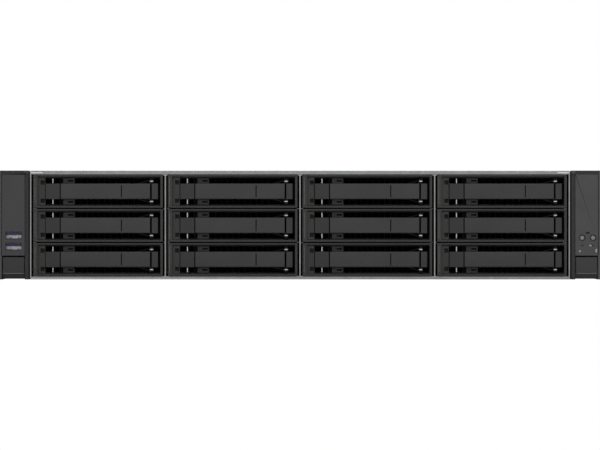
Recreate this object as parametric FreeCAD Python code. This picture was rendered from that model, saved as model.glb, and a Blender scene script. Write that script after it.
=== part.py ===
import FreeCAD, Part
import math
import os
from FreeCAD import Vector

# A two-unit rack server with twelve 3.5-inch bays. Millimetres.
# +X is the right side seen from the front, +Y runs from the front to the rear, +Z is up.
# Depths (y) are measured from the front plane of the rack ears while the parts are made,
# and every part is moved forward by half the overall depth when it is written, so that
# the origin lies under the middle of the server, on the surface it rests on.

# ---- Driving dimensions -------------------------------------------------------------

ear_width = 24.4            # chassis wall to the outside of a rack ear: 482.6 overall in a 19-inch rack
chassis_depth = 745.0       # ears' front plane to the outside of the rear panel
sheet = 1.0                 # steel sheet of the chassis, the cage and the covers
column_count = 4
row_count = 3

drive_width = 101.6
drive_height = 26.1
drive_length = 147.0

rail_thickness = 2.1        # carrier side rail
rail_play = 0.7             # side play of a carrier in its column
rail_relief = 0.6           # how much lower a rail is than the bezel
rail_overrun = 3.0          # rail end past the drive
tray_front = 1.0            # carrier cross member, between bezel and drive

bezel_depth = 24.0
bezel_inset = 0.8           # bezel side inside the rail's outer face
bezel_over = 0.3            # bezel taller than the drive
bezel_setback = 1.0         # bezel front behind the ears' front plane
row_gap = 1.0               # between bezels, one above another
bay_floor = 2.8             # underside of the lowest bezel
top_space = 3.5             # top of the highest bezel to the top of the cover

stile_left = 3.6
stile_right = 2.0
bar_height = 2.5            # top and bottom bar of the bezel
bar_slope = 1.2             # how far the bars slope back into the recess
recess_depth = 9.0          # lever recess in the bezel
pad_width = 6.0             # plate beside the left stile
pad_back = 2.5              # pad face behind the bezel face
pad_window = 3.4            # square holes in the pad
seam = 0.7                  # gaps at the two ends of the release button
button_length = 11.6
button_travel = 1.5
button_thickness = 4.2
stem_side = 5.0             # square stem of the release button
stem_length = 7.5
slide_gap = 0.3             # clearance of small parts that slide in a plastic guide
lever_height = 12.6
lever_thickness = 5.0
lever_setback = 0.8         # lever face behind the bezel face
lever_wall = 1.6
lever_chamfer = 0.6
lever_groove = 0.9          # width of the decorative groove in the lever
hinge_from_right = 9.1      # lever pivot to the bezel's right side
hinge_back = 2.0            # lever pivot behind the bezel face
lever_end_gap = 1.3         # lever's end to the pivot's axis
hinge_pin_radius = 0.9
hinge_pin_bite = 1.2        # pin length inside the bezel bar
boss_radius = 1.7
pin_clearance = 0.06        # radial, pins in their holes
fin_pitch = 4.72
fin_thickness = 0.5
light_pipe_width = 1.3

ledge_width = 2.2           # guide ledges on the dividers
ledge_thickness = 0.6
ledge_gap = 0.3             # rail above its ledge
foot_width = 4.5            # flared foot and head of a divider
head_height = 1.3
foot_thickness = 0.3
hem_gap = 0.5               # front hem of the floor to the lowest bezel

connector_gap = 0.3
connector_width = 42.0
connector_depth = 6.0
connector_height = 7.0
backplane_thickness = 2.4

fan_count = 4
fan_size = 80.0
fan_depth = 38.0
fan_bore_radius = 38.0
fan_hub_radius = 17.0
fan_tip_gap = 1.0
fan_axle_radius = 1.5
blade_count = 7
blade_thickness = 1.6
blade_pitch = 38.0          # degrees
fan_cable_room = 48.3       # backplane to the fan wall
fan_lift = 1.3              # fan housing above the floor sheet
fan_end_gap = 3.0           # rotor to the front of its duct
fan_strut = 3.0             # depth of the struts behind the rotor
fan_rear_gap = 1.0          # rotor to the struts

board_fan_gap = 16.0        # fans to the system board
board_side_gap = 6.0        # board to the chassis walls
board_rear_gap = 9.0
board_thickness = 1.8
standoff_height = 5.5
standoff_radius = 3.0
memory_length = 133.35
memory_height = 31.0
memory_thickness = 1.4
memory_pitch = 7.3
memory_setback = 60.0       # board's front edge to the modules
memory_group_gap = 10.0     # cooler to the nearest module
socket_width = 6.0
socket_height = 8.0
cooler_width = 78.0
cooler_length = 108.0
cooler_height = 60.0
cooler_base = 6.0
cooler_fin = 0.8
cooler_fin_pitch = 3.25
processor_height = 7.0

psu_width = 73.5
psu_height = 39.5
psu_length = 185.0
psu_gap = 0.4               # power supply to the walls of its bay
psu_handle_reach = 25.0
psu_handle_bar = 5.0
latch_thickness = 2.5
latch_height = 18.0
latch_inside = 20.0
latch_reach = 20.0
latch_pocket = 8.0

cover_behind = 23.3         # backplane to the front edge of the removable cover
cover_gap = 0.4
skirt_height = 12.5
skirt_gap = 0.4             # cover skirt to the chassis wall
cover_pin_radius = 2.0
cover_pin_drop = 6.5        # pin's axis under the cover sheet
notch_clearance = 0.3
tray_width = 122.0          # recess of the cover latch
tray_length = 40.0
tray_depth = 8.0
tray_setback = 86.0         # cover's front edge to the recess
latch_plate = 2.2
latch_pin_radius = 1.2

ear_depth = 36.0            # housing, ears' front plane to the rack flange
flange_thickness = 2.0
ear_gap = 1.2               # housing to the chassis wall
ear_wall = 2.0
ear_skin = 3.0              # front wall of the ear housing
ear_groove = 0.8
ear_panel_step = 0.6
leg_length = 42.0           # rack flange's leg along the chassis wall
leg_thickness = 1.5
rack_hole_from_side = 8.75  # rack hole to the ear's outer side: 465.1 between the two holes
rack_hole_radius = 3.4
rack_hole_height = 5.65
flap_height = 17.2
flap_bottom = 0.9
flap_thickness = 4.5
flap_front = 0.5
flap_pivot_height = 15.3
flap_pivot_back = 2.5
flap_side_gap = 0.4
flap_pin_radius = 1.0
flap_pin_bite = 1.2
pocket_top = 19.2

usb_width = 13.1
usb_height = 5.7
usb_wall = 0.4
usb_from_side = 11.3        # socket centre to the ear's outer side
usb_heights = (35.4, 26.4)
panel_button_radius = 1.75
panel_button_travel = 1.0
panel_button_height = 33.5
power_button_from_side = 5.9
id_button_from_side = 14.6
panel_button_ring = 2.7
indicator_height = 27.3
ear_board_depth = 15.0
ear_board_thickness = 1.6

stud_radius = 3.0
stud_length = 2.5
stud_places = (120.0, 400.0, 660.0)
stud_height = 44.0

slot_rows = 3
slot_pitch = 19.62
slot_groups = (8.9, 141.9)  # left chassis wall to each group of slot covers
slot_cover_width = 120.0
slot_cover_height = 18.4
slot_opening_width = 112.0
slot_opening_height = 13.0
slot_floor = 26.0
port_floor = 8.5
port_gap = 0.3              # rear port to the edge of its opening
network_ports = (15.9, 37.9, 159.9)     # left chassis wall to each port
network_width = 16.2
network_height = 13.6
network_socket = 8.0        # height of the plug's way in
usb_rear_ports = (65.9, 83.9, 101.9)
video_port = 125.9
video_width = 18.0
video_height = 9.4
video_reach = 5.0           # video connector beyond the rear panel
port_depth = 16.0
screw_radius = 3.0
screw_head = 0.6
vent_pitch = 8.0            # air holes of the rear panel, across
vent_width = 6.0
vent_row_pitch = 4.8
vent_height = 3.0
vent_rows = 12
vent_margin = 10.0          # slot covers to the first column of vents
slit_width = 5.0            # air slits of a slot cover
slit_height = 7.0
slit_count = 12

connector_left = 47.0       # drive connector's left side to the column's centre
connector_lift = 4.0        # drive's underside to its connector
air_window_left = 1.0       # backplane's air window to the left of the column's centre
air_window_right = 44.0
air_window_margin = 6.0     # bezel's underside to the window's edge
power_socket = (24.0, 9.0, 12.0)
signal_socket = (36.0, 7.0, 8.0)

# ---- Sizes that follow --------------------------------------------------------------

rail_span = drive_width + 2 * rail_thickness
column_pitch = rail_span + 2 * rail_play + sheet
chassis_width = column_count * column_pitch + sheet
half_outside = chassis_width / 2
half_inside = half_outside - sheet
bezel_width = rail_span - 2 * bezel_inset
bezel_height = drive_height + bezel_over
row_pitch = bezel_height + row_gap
bay_top = bay_floor + row_count * row_pitch - row_gap
chassis_height = bay_top + top_space
cover_underside = chassis_height - sheet
cage_top = bay_top + ledge_gap
hem_top = bay_floor - hem_gap

drive_front = bezel_setback + bezel_depth + tray_front
drive_rear = drive_front + drive_length
backplane_front = drive_rear + connector_gap + connector_depth
backplane_rear = backplane_front + backplane_thickness
cover_split = backplane_rear + cover_behind
tray_start = cover_split + tray_setback

lever_bottom = (bezel_height - lever_height) / 2
lever_top = lever_bottom + lever_height
button_start = stile_left + pad_width + 0.3 * seam
lever_start = button_start + button_length + seam
hinge_place = bezel_width - hinge_from_right
lever_end = hinge_place - lever_end_gap

rear_panel = chassis_depth - sheet
psu_right = half_inside - skirt_gap - sheet - psu_gap
psu_left = psu_right - psu_width
psu_front = chassis_depth - psu_length
psu_floors = (sheet + psu_gap, sheet + psu_gap + psu_height + 2 * psu_gap + sheet)
bay_wall = psu_left - psu_gap

fan_pitch = 2 * half_inside / fan_count
fan_center_height = sheet + fan_lift + fan_size / 2
fan_wall_depth = backplane_rear + fan_cable_room
fan_front = fan_wall_depth + sheet
fan_back = fan_front + fan_depth

board_floor = sheet + standoff_height
board_top = board_floor + board_thickness
board_rear = rear_panel - board_rear_gap
board_front = fan_back + board_fan_gap
board_half = half_inside - board_side_gap
board_narrow = bay_wall - sheet - board_side_gap
memory_start = board_front + memory_setback

half_rack = half_outside + ear_width
ear_inner = half_outside + ear_gap
flap_left = ear_inner + 3.1
flap_right = half_rack - ear_wall
overall_depth = chassis_depth + psu_handle_reach

along_x = Vector(1, 0, 0)
along_y = Vector(0, 1, 0)
along_z = Vector(0, 0, 1)


# ---- Small helpers ------------------------------------------------------------------

def block(x0, x1, y0, y1, z0, z1):
    """A box between two corners, given axis by axis."""
    return Part.makeBox(x1 - x0, y1 - y0, z1 - z0, Vector(x0, y0, z0))


def rod(place, radius, length, axis):
    """A round bar that starts at a place and runs along an axis."""
    return Part.makeCylinder(radius, length, Vector(*place), axis)


def prism_along_x(outline, x0, x1):
    """A straight bar from x0 to x1 with an outline of (y, z) points."""
    points = [Vector(x0, y, z) for y, z in outline]
    return Part.Face(Part.makePolygon(points + points[:1])).extrude(Vector(x1 - x0, 0, 0))


def prism_along_y(outline, y0, y1):
    """A straight bar from y0 to y1 with an outline of (x, z) points."""
    points = [Vector(x, y0, z) for x, z in outline]
    return Part.Face(Part.makePolygon(points + points[:1])).extrude(Vector(0, y1 - y0, 0))


def joined(shapes):
    """One solid made of shapes that touch or overlap."""
    return shapes[0].fuse(shapes[1:]).removeSplitter()


def flipped(shape):
    """The same shape on the left side of the server."""
    return shape.mirror(Vector(0, 0, 0), along_x)


def write(node, solids):
    """Writes the solids of one node, moved to the row's origin."""
    shape = Part.makeCompound(solids) if len(solids) > 1 else solids[0].copy()
    shape.translate(Vector(0, -overall_depth / 2, 0))
    shape.exportStep(os.path.join("parts", node + ".step"))


# ---- Drive carrier ------------------------------------------------------------------
# A carrier is made with the lower left front corner of its bezel at the origin.

def bezel():
    """Moulded front frame: lever recess, air channels between fins, pad and hinge block."""
    top_bar = bezel_height - bar_height
    right = bezel_width - stile_right
    body = block(0, bezel_width, 0, bezel_depth, 0, bezel_height)
    recess = block(stile_left, right, -1, recess_depth, bar_height, top_bar)
    slope_back = 3.5
    upper_slope = prism_along_x(
        [(-1, top_bar), (-1, top_bar + bar_slope + 0.4), (slope_back, top_bar)], stile_left, right)
    lower_slope = prism_along_x(
        [(-1, bar_height), (-1, bar_height - bar_slope - 0.4), (slope_back, bar_height)], stile_left, right)
    pipe_slot = block(0.8, 0.8 + light_pipe_width, -1, recess_depth + 1, bar_height, top_bar)
    body = body.cut([recess, upper_slope, lower_slope, pipe_slot])

    additions = [bezel_pad(), bezel_tail_block()]
    additions += bezel_shoulders()
    additions.append(block(button_start + 5.6, button_start + 6.1, recess_depth - 2, recess_depth,
                           bar_height, top_bar))
    body = joined([body] + additions)

    cuts = bezel_air_channels() + bezel_pin_sockets()
    cuts.append(stem_guide())
    return body.cut(cuts)


def bezel_pad():
    """Plate beside the left stile, with two square windows."""
    top_bar = bezel_height - bar_height
    pad = block(stile_left, stile_left + pad_width, pad_back, recess_depth, bar_height, top_bar)
    window_right = stile_left + pad_width - 0.4
    low = bar_height + 1.4
    high = top_bar - 1.8 - pad_window
    windows = [block(window_right - pad_window, window_right, 0, recess_depth, z, z + pad_window)
               for z in (low, high)]
    return pad.cut(windows)


def bezel_tail_block():
    """Fixed block beyond the lever's pivot, in line with the lever's face."""
    return block(hinge_place + 0.1, bezel_width - 4.0, hinge_back - 0.8, recess_depth,
                 lever_bottom, lever_top)


def bezel_shoulders():
    """Small slotted plates above and below the lever's free end."""
    left = lever_start + 1.6
    right = left + 9.2
    front = lever_setback + lever_thickness + 0.4
    slot_left = left + 3.8
    slot_right = right - 1.0
    plates = []
    for low, high in ((bar_height, lever_bottom), (lever_top, bezel_height - bar_height)):
        middle = (low + high) / 2
        plate = block(left, right, front, recess_depth, low, high)
        slot = block(slot_left, slot_right, front - 1, recess_depth, middle - 0.6, middle + 0.6)
        plates.append(plate.cut(slot))
    return plates


def bezel_air_channels():
    """Channels right through the bezel, with a thin fin between two of them."""
    left = lever_start + 11.5
    count = int((lever_end - 12.0 - left) // fin_pitch)
    return [block(left + i * fin_pitch, left + (i + 1) * fin_pitch - fin_thickness,
                  recess_depth - 1, bezel_depth + 1, bar_height + 0.3, bezel_height - bar_height - 0.3)
            for i in range(count)]


def bezel_pin_sockets():
    """Blind sockets in the two bars that hold the lever's pins."""
    half = hinge_pin_radius + pin_clearance
    depth = hinge_pin_bite + 0.2
    top_bar = bezel_height - bar_height
    return [rod((hinge_place, hinge_back, bar_height - depth), half, depth + 0.5, along_z),
            rod((hinge_place, hinge_back, top_bar - 0.5), half, depth + 0.5, along_z)]


def stem_guide():
    """Blind square hole in which the release button's stem slides."""
    half = stem_side / 2 + slide_gap
    x = button_start + button_length / 2
    z = bezel_height / 2
    depth = button_travel + stem_length
    return block(x - half, x + half, recess_depth - 3, lever_setback + button_thickness + depth + 0.5,
                 z - half, z + half)


def light_pipe():
    """Clear strip in the left stile that carries the drive's status light."""
    return block(0.8, 0.8 + light_pipe_width, 0, recess_depth + 1, bar_height, bezel_height - bar_height)


def carrier_tray():
    """Steel rails along both sides of the drive, joined by a cross member behind the bezel."""
    left = -bezel_inset
    right = left + rail_span
    height = bezel_height - rail_relief
    back = bezel_depth + tray_front + drive_length + rail_overrun
    cross = block(left, right, bezel_depth, bezel_depth + tray_front, 0, height)
    window = block(left + 12, right - 12, bezel_depth - 1, bezel_depth + tray_front + 1, 5, height - 5)
    left_rail = block(left, left + rail_thickness, bezel_depth, back, 0, height)
    right_rail = block(right - rail_thickness, right, bezel_depth, back, 0, height)
    return joined([cross.cut(window), left_rail, right_rail])


def drive():
    """A 3.5-inch disk drive: casting with bevelled corners and a raised lid."""
    left = rail_thickness - bezel_inset
    front = bezel_depth + tray_front
    lift = 0.15
    lid = 1.2
    casting = block(left, left + drive_width, front, front + drive_length, lift, lift + drive_height - lid)
    cover = block(left + 3, left + drive_width - 3, front + 4, front + drive_length - 22,
                  lift + drive_height - lid, lift + drive_height)
    circuit = block(left + 4, left + drive_width - 4, front + drive_length - 60, front + drive_length - 2,
                    lift - 0.1, lift + 1.5)
    pocket = block(left + 4, left + drive_width - 4, front + drive_length - 60, front + drive_length - 2,
                   lift - 1, lift + 0.6)
    return joined([casting.cut(pocket), cover]).cut(circuit.cut(pocket).cut(casting))


def lever():
    """Ejector lever: hollow handle, two fork arms, and a pin on each arm at the pivot."""
    front = lever_setback
    back = front + lever_thickness
    handle = block(lever_start, lever_end, front, back, lever_bottom, lever_top)
    for height, chamfer in ((lever_top, lever_chamfer), (lever_bottom, 2 * lever_chamfer)):
        edge = [e for e in handle.Edges if e.Length > 2 * lever_height and e.CenterOfMass.y < front + 0.01
                and abs(e.CenterOfMass.z - height) < 0.01]
        handle = handle.makeChamfer(chamfer, edge)
    hollow = block(lever_start + lever_wall, lever_end - lever_wall, front + lever_wall, back + 1,
                   lever_bottom + lever_wall, lever_top - lever_wall)
    groove_left = lever_end - 22.9 - lever_groove / 2
    groove = block(groove_left, groove_left + lever_groove, front - 1, front + 0.5,
                   lever_bottom + 1.6, lever_top - 1.4)
    handle = handle.cut([hollow, groove])
    return joined([handle] + lever_fork())


def lever_fork():
    """Two slanting arms that carry the pins, above and below the handle."""
    top_bar = bezel_height - bar_height
    arm_back = lever_setback + 2.8
    tip = top_bar - 0.4
    outline = [(lever_end - 9, lever_top - 0.5), (lever_end - 1.2, lever_top - 0.5),
               (hinge_place + 1.2, lever_top + 0.9), (hinge_place + 1.2, tip),
               (hinge_place - 1.2, tip)]
    upper = prism_along_y(outline, lever_setback, arm_back)
    boss = rod((hinge_place, hinge_back, lever_top + 0.9), boss_radius, tip - lever_top - 0.9, along_z)
    pin = rod((hinge_place, hinge_back, tip - 0.5), hinge_pin_radius,
              0.5 + top_bar - tip + hinge_pin_bite, along_z)
    upper = joined([upper, boss, pin])
    lower = upper.mirror(Vector(0, 0, bezel_height / 2), along_z)
    return [upper, lower]


def release_button():
    """Push button beside the lever's free end, with the square stem that guides it."""
    front = lever_setback
    cap = block(button_start, button_start + button_length, front, front + button_thickness,
                lever_bottom, lever_top)
    edges = [e for e in cap.Edges if e.Length > button_length - 0.1 and e.CenterOfMass.y < front + 0.1]
    cap = cap.makeChamfer(lever_chamfer / 2, edges)
    x = button_start + button_length / 2
    z = bezel_height / 2
    half = stem_side / 2
    stem = block(x - half, x + half, front + button_thickness - 0.5,
                 front + button_thickness + stem_length, z - half, z + half)
    return joined([cap, stem])


def write_carriers():
    """Twelve carriers with their levers and buttons, counted down each column from the left."""
    carrier = [bezel(), carrier_tray(), drive(), light_pipe()]
    handle = lever()
    button = release_button()
    for column in range(column_count):
        for row in range(row_count):
            number = column * row_count + row + 1
            x = (column - (column_count - 1) / 2) * column_pitch - bezel_width / 2
            z = bay_floor + (row_count - 1 - row) * row_pitch
            place = Vector(x, bezel_setback, z)
            write("drive_carrier_%02d" % number, [s.translated(place) for s in carrier])
            write("carrier_lever_%02d" % number, [handle.translated(place)])
            write("release_button_%02d" % number, [button.translated(place)])


# ---- Chassis ------------------------------------------------------------------------

def chassis_pan():
    """Floor with its folded front hem, and the two side walls with the cover's notches."""
    wall_front = bezel_setback
    floor = block(-half_outside, half_outside, wall_front, chassis_depth, 0, sheet)
    hem = block(-half_inside, half_inside, wall_front, wall_front + sheet, 0, hem_top)
    right_wall = block(half_inside, half_outside, wall_front, chassis_depth, sheet, cover_underside)
    right_wall = right_wall.cut(cover_notches())
    return [joined([floor, hem]), right_wall, flipped(right_wall)]


def rear_plate():
    """Rear panel between the side walls, with its openings."""
    plate = block(-half_inside, half_inside, rear_panel, chassis_depth, sheet, cover_underside)
    return plate.cut(rear_openings())


def supply_bay_walls():
    """Upright beside the power supplies and the shelf between them."""
    front = psu_front - 20
    upright = block(bay_wall - sheet, bay_wall, front, rear_panel, sheet, cover_underside - 4)
    shelf_top = psu_floors[1] - psu_gap
    shelf = block(bay_wall, psu_right + psu_gap, front, rear_panel, shelf_top - sheet, shelf_top)
    return [upright, shelf]


def cover_pin_places():
    """Depths of the three cover pins on a side, and their height."""
    first = cover_split + 35
    last = chassis_depth - 55
    height = cover_underside - cover_pin_drop
    return [(first + i * (last - first) / 2, height) for i in range(3)]


def cover_notches():
    """Slanting notches, open at the top, that the cover's pins ride in."""
    half = cover_pin_radius + notch_clearance
    across = half * math.sqrt(2)
    notches = []
    for y, z in cover_pin_places():
        bottom_y = y - half * math.sqrt(0.5)
        bottom_z = z - half * math.sqrt(0.5)
        rise = cover_underside + 1 - bottom_z
        side = across / 2
        outline = [(bottom_y - side, bottom_z + side), (bottom_y + side, bottom_z - side),
                   (bottom_y + side + rise + side, bottom_z + rise),
                   (bottom_y - side + rise - side, bottom_z + rise)]
        notches.append(prism_along_x(outline, half_inside - 1, half_outside + 1))
    return notches


def rear_openings():
    """Openings of the rear panel: power supplies, card slots, ports and air vents."""
    front = rear_panel - 1
    back = chassis_depth + 1
    cuts = [block(psu_left - psu_gap, psu_right + psu_gap, front, back, z - psu_gap, z + psu_height + psu_gap)
            for z in psu_floors]
    for x, z in slot_places():
        margin_x = (slot_cover_width - slot_opening_width) / 2
        margin_z = (slot_cover_height - slot_opening_height) / 2
        cuts.append(block(x + margin_x, x + margin_x + slot_opening_width, front, back,
                          z + margin_z, z + margin_z + slot_opening_height))
    cuts += [block(x, x + width, front, back, port_floor, port_floor + height)
             for x, width, height in port_places()]
    vent_left = -half_inside + slot_groups[-1] + slot_cover_width + vent_margin
    vent_columns = int((bay_wall - vent_pitch - vent_left) // vent_pitch)
    for column in range(vent_columns):
        for row in range(vent_rows):
            x = vent_left + column * vent_pitch
            z = slot_floor + row * vent_row_pitch
            cuts.append(block(x, x + vent_width, front, back, z, z + vent_height))
    return cuts


def slot_places():
    """Left lower corner of every expansion slot cover."""
    return [(x - half_inside, slot_floor + row * slot_pitch) for x in slot_groups for row in range(slot_rows)]


def port_places():
    """Left side, width and height of the opening for each rear port."""
    places = [(x, network_width, network_height) for x in network_ports]
    places += [(x, usb_width, usb_height) for x in usb_rear_ports]
    places.append((video_port, video_width, video_height))
    return [(x - half_inside, width + 2 * port_gap, height + 2 * port_gap) for x, width, height in places]


def slot_covers():
    """Blanking plates over the unused expansion slots, with rows of air slits."""
    covers = []
    for x, z in slot_places():
        plate = block(x, x + slot_cover_width, rear_panel - 0.9, rear_panel, z, z + slot_cover_height)
        middle = z + slot_cover_height / 2
        first = x + (slot_cover_width - (slit_count - 1) * vent_pitch - slit_width) / 2
        slits = [block(first + i * vent_pitch, first + i * vent_pitch + slit_width, rear_panel - 2,
                       rear_panel + 1, middle - slit_height / 2, middle + slit_height / 2)
                 for i in range(slit_count)]
        covers.append(plate.cut(slits))
    return covers


def rail_studs():
    """Round studs on both sides that hang the server on its slide rails."""
    studs = [rod((half_outside, y, stud_height), stud_radius, stud_length, along_x) for y in stud_places]
    return studs + [flipped(stud) for stud in studs]


def drive_cage():
    """Three dividers between the columns, ledges on the outer walls, and the cage's roof."""
    front = bezel_setback
    ledge_front = front + bezel_depth + 2
    ledge_back = backplane_front - 8
    solids = []
    for i in range(1, column_count):
        x = (i - column_count / 2) * column_pitch
        plate = block(x - sheet / 2, x + sheet / 2, front, backplane_front, sheet, cage_top)
        foot = block(x - foot_width / 2, x + foot_width / 2, front, front + sheet, hem_top,
                     hem_top + foot_thickness)
        head = prism_along_y([(x - foot_width / 2, cage_top), (x + foot_width / 2, cage_top),
                              (x + sheet / 2, cage_top - head_height),
                              (x - sheet / 2, cage_top - head_height)], front, front + sheet)
        ledges = [block(x - sheet / 2 - ledge_width, x + sheet / 2 + ledge_width, ledge_front, ledge_back,
                        z - ledge_gap - ledge_thickness, z - ledge_gap) for z in ledge_heights()]
        hem_notch = block(x - foot_width, x + foot_width, front - 1, front + sheet, 0, hem_top)
        solids.append(joined([plate.cut(hem_notch), foot, head] + ledges))
    strip = block(half_inside - sheet, half_inside, ledge_front, ledge_back, sheet, cage_top)
    ledges = [block(half_inside - ledge_width, half_inside, ledge_front, ledge_back,
                    z - ledge_gap - ledge_thickness, z - ledge_gap) for z in ledge_heights()]
    thin_strip = strip.cut(block(half_inside - sheet - 1, half_inside - 0.4, ledge_front - 1, ledge_back + 1,
                                 0, cage_top + 1))
    side = joined([thin_strip] + ledges)
    solids += [side, flipped(side)]
    solids.append(block(-half_inside, half_inside, front + 3, backplane_front, cage_top, cage_top + sheet))
    return solids


def ledge_heights():
    """Underside of the carriers in each row."""
    return [bay_floor + row * row_pitch for row in range(row_count)]


def backplane():
    """Board behind the drives with a connector for each bay and air openings between them."""
    low = bay_floor + 1
    high = bay_top - 1
    board = block(-half_inside + 1, half_inside - 1, backplane_front, backplane_rear, low, high)
    windows = []
    connectors = []
    for column in range(column_count):
        center = (column - (column_count - 1) / 2) * column_pitch
        for z in ledge_heights():
            windows.append(block(center - air_window_left, center + air_window_right, backplane_front - 1,
                                 backplane_rear + 1, z + air_window_margin,
                                 z + bezel_height - air_window_margin))
            x = center - connector_left
            connectors.append(block(x, x + connector_width, backplane_front - connector_depth, backplane_front,
                                    z + connector_lift, z + connector_lift + connector_height))
    sockets = []
    for column, (width, depth, height) in ((1, power_socket), (2, signal_socket)):
        x = (column - (column_count - 1) / 2) * column_pitch
        sockets.append(block(x, x + width, backplane_rear, backplane_rear + depth, low + 2, low + 2 + height))
    return [board.cut(windows)] + connectors + sockets


# ---- Fans ---------------------------------------------------------------------------

def fan_places():
    """X of each fan's axis."""
    return [(i - (fan_count - 1) / 2) * fan_pitch for i in range(fan_count)]


def fan_wall():
    """Sheet wall with round openings, and a housing with its struts behind each one."""
    half = half_inside - skirt_gap - sheet - 1
    top = sheet + fan_lift + fan_size + 1
    wall = block(-half, half, fan_wall_depth, fan_front, sheet, top)
    foot = block(-half, half, fan_wall_depth, fan_back, sheet, sheet + fan_lift - slide_gap)
    holes = [rod((x, fan_wall_depth - 1, fan_center_height), fan_bore_radius, sheet + 2, along_y)
             for x in fan_places()]
    solids = [joined([wall, foot]).cut(holes)]
    return solids + [fan_housing(x) for x in fan_places()]


def fan_housing(x):
    """Square fan body: round duct, and four struts that hold the motor's base at the rear."""
    half = fan_size / 2
    strut_front = fan_back - fan_strut
    z = fan_center_height
    body = block(x - half, x + half, fan_front, fan_back, z - half, z + half)
    body = body.cut(rod((x, fan_front - 1, z), fan_bore_radius, fan_depth + 2, along_y))
    across = block(x - half + 1, x + half - 1, strut_front, fan_back, z - 2, z + 2)
    upright = block(x - 2, x + 2, strut_front, fan_back, z - half + 1, z + half - 1)
    base = rod((x, strut_front, z), fan_hub_radius, fan_strut, along_y)
    axle_hole = rod((x, strut_front - 1, z), fan_axle_radius + pin_clearance, fan_strut, along_y)
    return joined([body, across, upright, base]).cut(axle_hole)


def fan_rotor(x):
    """Hub with its axle and pitched blades, cut to run inside the duct."""
    z = fan_center_height
    tip = fan_bore_radius - fan_tip_gap
    hub_front = fan_front + fan_end_gap
    hub_length = fan_depth - fan_end_gap - fan_strut - fan_rear_gap
    hub = rod((x, hub_front, z), fan_hub_radius, hub_length, along_y)
    axle_bite = 0.6 * fan_strut
    axle = rod((x, hub_front + hub_length - 1, z), fan_axle_radius, 1 + fan_rear_gap + axle_bite, along_y)
    blade_depth = hub_length - 4
    lean = blade_depth * math.tan(math.radians(blade_pitch)) / 2
    middle = hub_front + hub_length / 2
    outline = [(-lean - blade_thickness / 2, -blade_depth / 2), (-lean + blade_thickness / 2, -blade_depth / 2),
               (lean + blade_thickness / 2, blade_depth / 2), (lean - blade_thickness / 2, blade_depth / 2)]
    root = fan_hub_radius - 1
    points = [Vector(x + a, middle + b, z + root) for a, b in outline]
    blade = Part.Face(Part.makePolygon(points + points[:1])).extrude(Vector(0, 0, fan_bore_radius + 8 - root))
    envelope = rod((x, hub_front, z), tip, hub_length, along_y)
    blade = blade.common(envelope)
    blades = []
    for i in range(blade_count):
        turned = blade.copy()
        turned.rotate(Vector(x, 0, z), along_y, 360.0 * i / blade_count)
        blades.append(turned)
    return joined([hub, axle] + blades)


# ---- System board -------------------------------------------------------------------

def board_outline():
    """The board is wide in front and stops beside the power supplies at the rear."""
    step = psu_front - 30
    front = block(-board_half, board_half, board_front, step, board_floor, board_top)
    rear = block(-board_half, board_narrow, step, board_rear, board_floor, board_top)
    return joined([front, rear])


def processor_places():
    """X of the two processors, each in the middle of its half of the board."""
    return -board_half / 2, board_half / 2


def memory_places():
    """X of every memory module, in a group on each side of each processor, as many as have room."""
    offset = cooler_width / 2 + memory_group_gap
    room = board_half / 2 - offset - socket_width / 2 - 1
    per_group = int(room // memory_pitch) + 1
    places = []
    for x in processor_places():
        for side in (-1, 1):
            places += [x + side * (offset + i * memory_pitch) for i in range(per_group)]
    return sorted(places)


def memory_modules():
    """Memory modules standing in their sockets."""
    back = memory_start + memory_length
    half = memory_thickness / 2
    seat = board_top + 2
    solids = []
    for x in memory_places():
        socket = block(x - socket_width / 2, x + socket_width / 2, memory_start - 4, back + 4,
                       board_top, board_top + socket_height)
        slot = block(x - half, x + half, memory_start, back, seat, board_top + socket_height + 1)
        module = block(x - half, x + half, memory_start, back, seat, seat + memory_height)
        solids += [socket.cut(slot), module]
    return solids


def system_board():
    """Board on its standoffs with processors and their coolers, rear ports and small parts."""
    solids = [board_outline()]
    for x in (6 - board_half, -board_half / 3, board_half / 3, board_narrow - 8):
        for y in (board_front + 8, memory_start + memory_length + 20, board_rear - 8):
            solids.append(rod((x, y, sheet), standoff_radius, standoff_height, along_z))
    middle = memory_start + memory_length / 2
    half = cooler_width / 2 - 2
    for x in processor_places():
        solids.append(block(x - half, x + half, middle - half - 9, middle + half + 9,
                            board_top, board_top + processor_height))
    return solids + processor_coolers() + rear_ports() + board_details()


def rear_ports():
    """Network, USB and video sockets that reach from the board into the rear panel."""
    back = chassis_depth - 0.2
    front = back - port_depth
    low = port_floor + port_gap
    solids = []
    left = port_gap - half_inside
    for place in network_ports:
        x = left + place
        can = block(x, x + network_width, front, back, low, low + network_height)
        way = block(x + 2, x + network_width - 2, front + 2, back + 1, low + 2, low + 2 + network_socket)
        solids.append(can.cut(way))
    for place in usb_rear_ports:
        x = left + place
        shell = block(x, x + usb_width, front, back, low, low + usb_height)
        way = block(x + usb_wall, x + usb_width - usb_wall, front + 2, back + 1,
                    low + usb_wall, low + usb_height - usb_wall)
        tongue = block(x + 0.9, x + usb_width - 0.9, front + 2, back - 1,
                       low + usb_height / 2 + 0.3, low + usb_height / 2 + 2.1)
        solids += [shell.cut(way), tongue]
    x = left + video_port
    shell = block(x, x + video_width, front, back + video_reach, low, low + video_height)
    corners = [e for e in shell.Edges if e.Length > port_depth and e.CenterOfMass.z < low + 0.1]
    solids.append(shell.makeChamfer(1.5, corners))
    return solids


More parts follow.
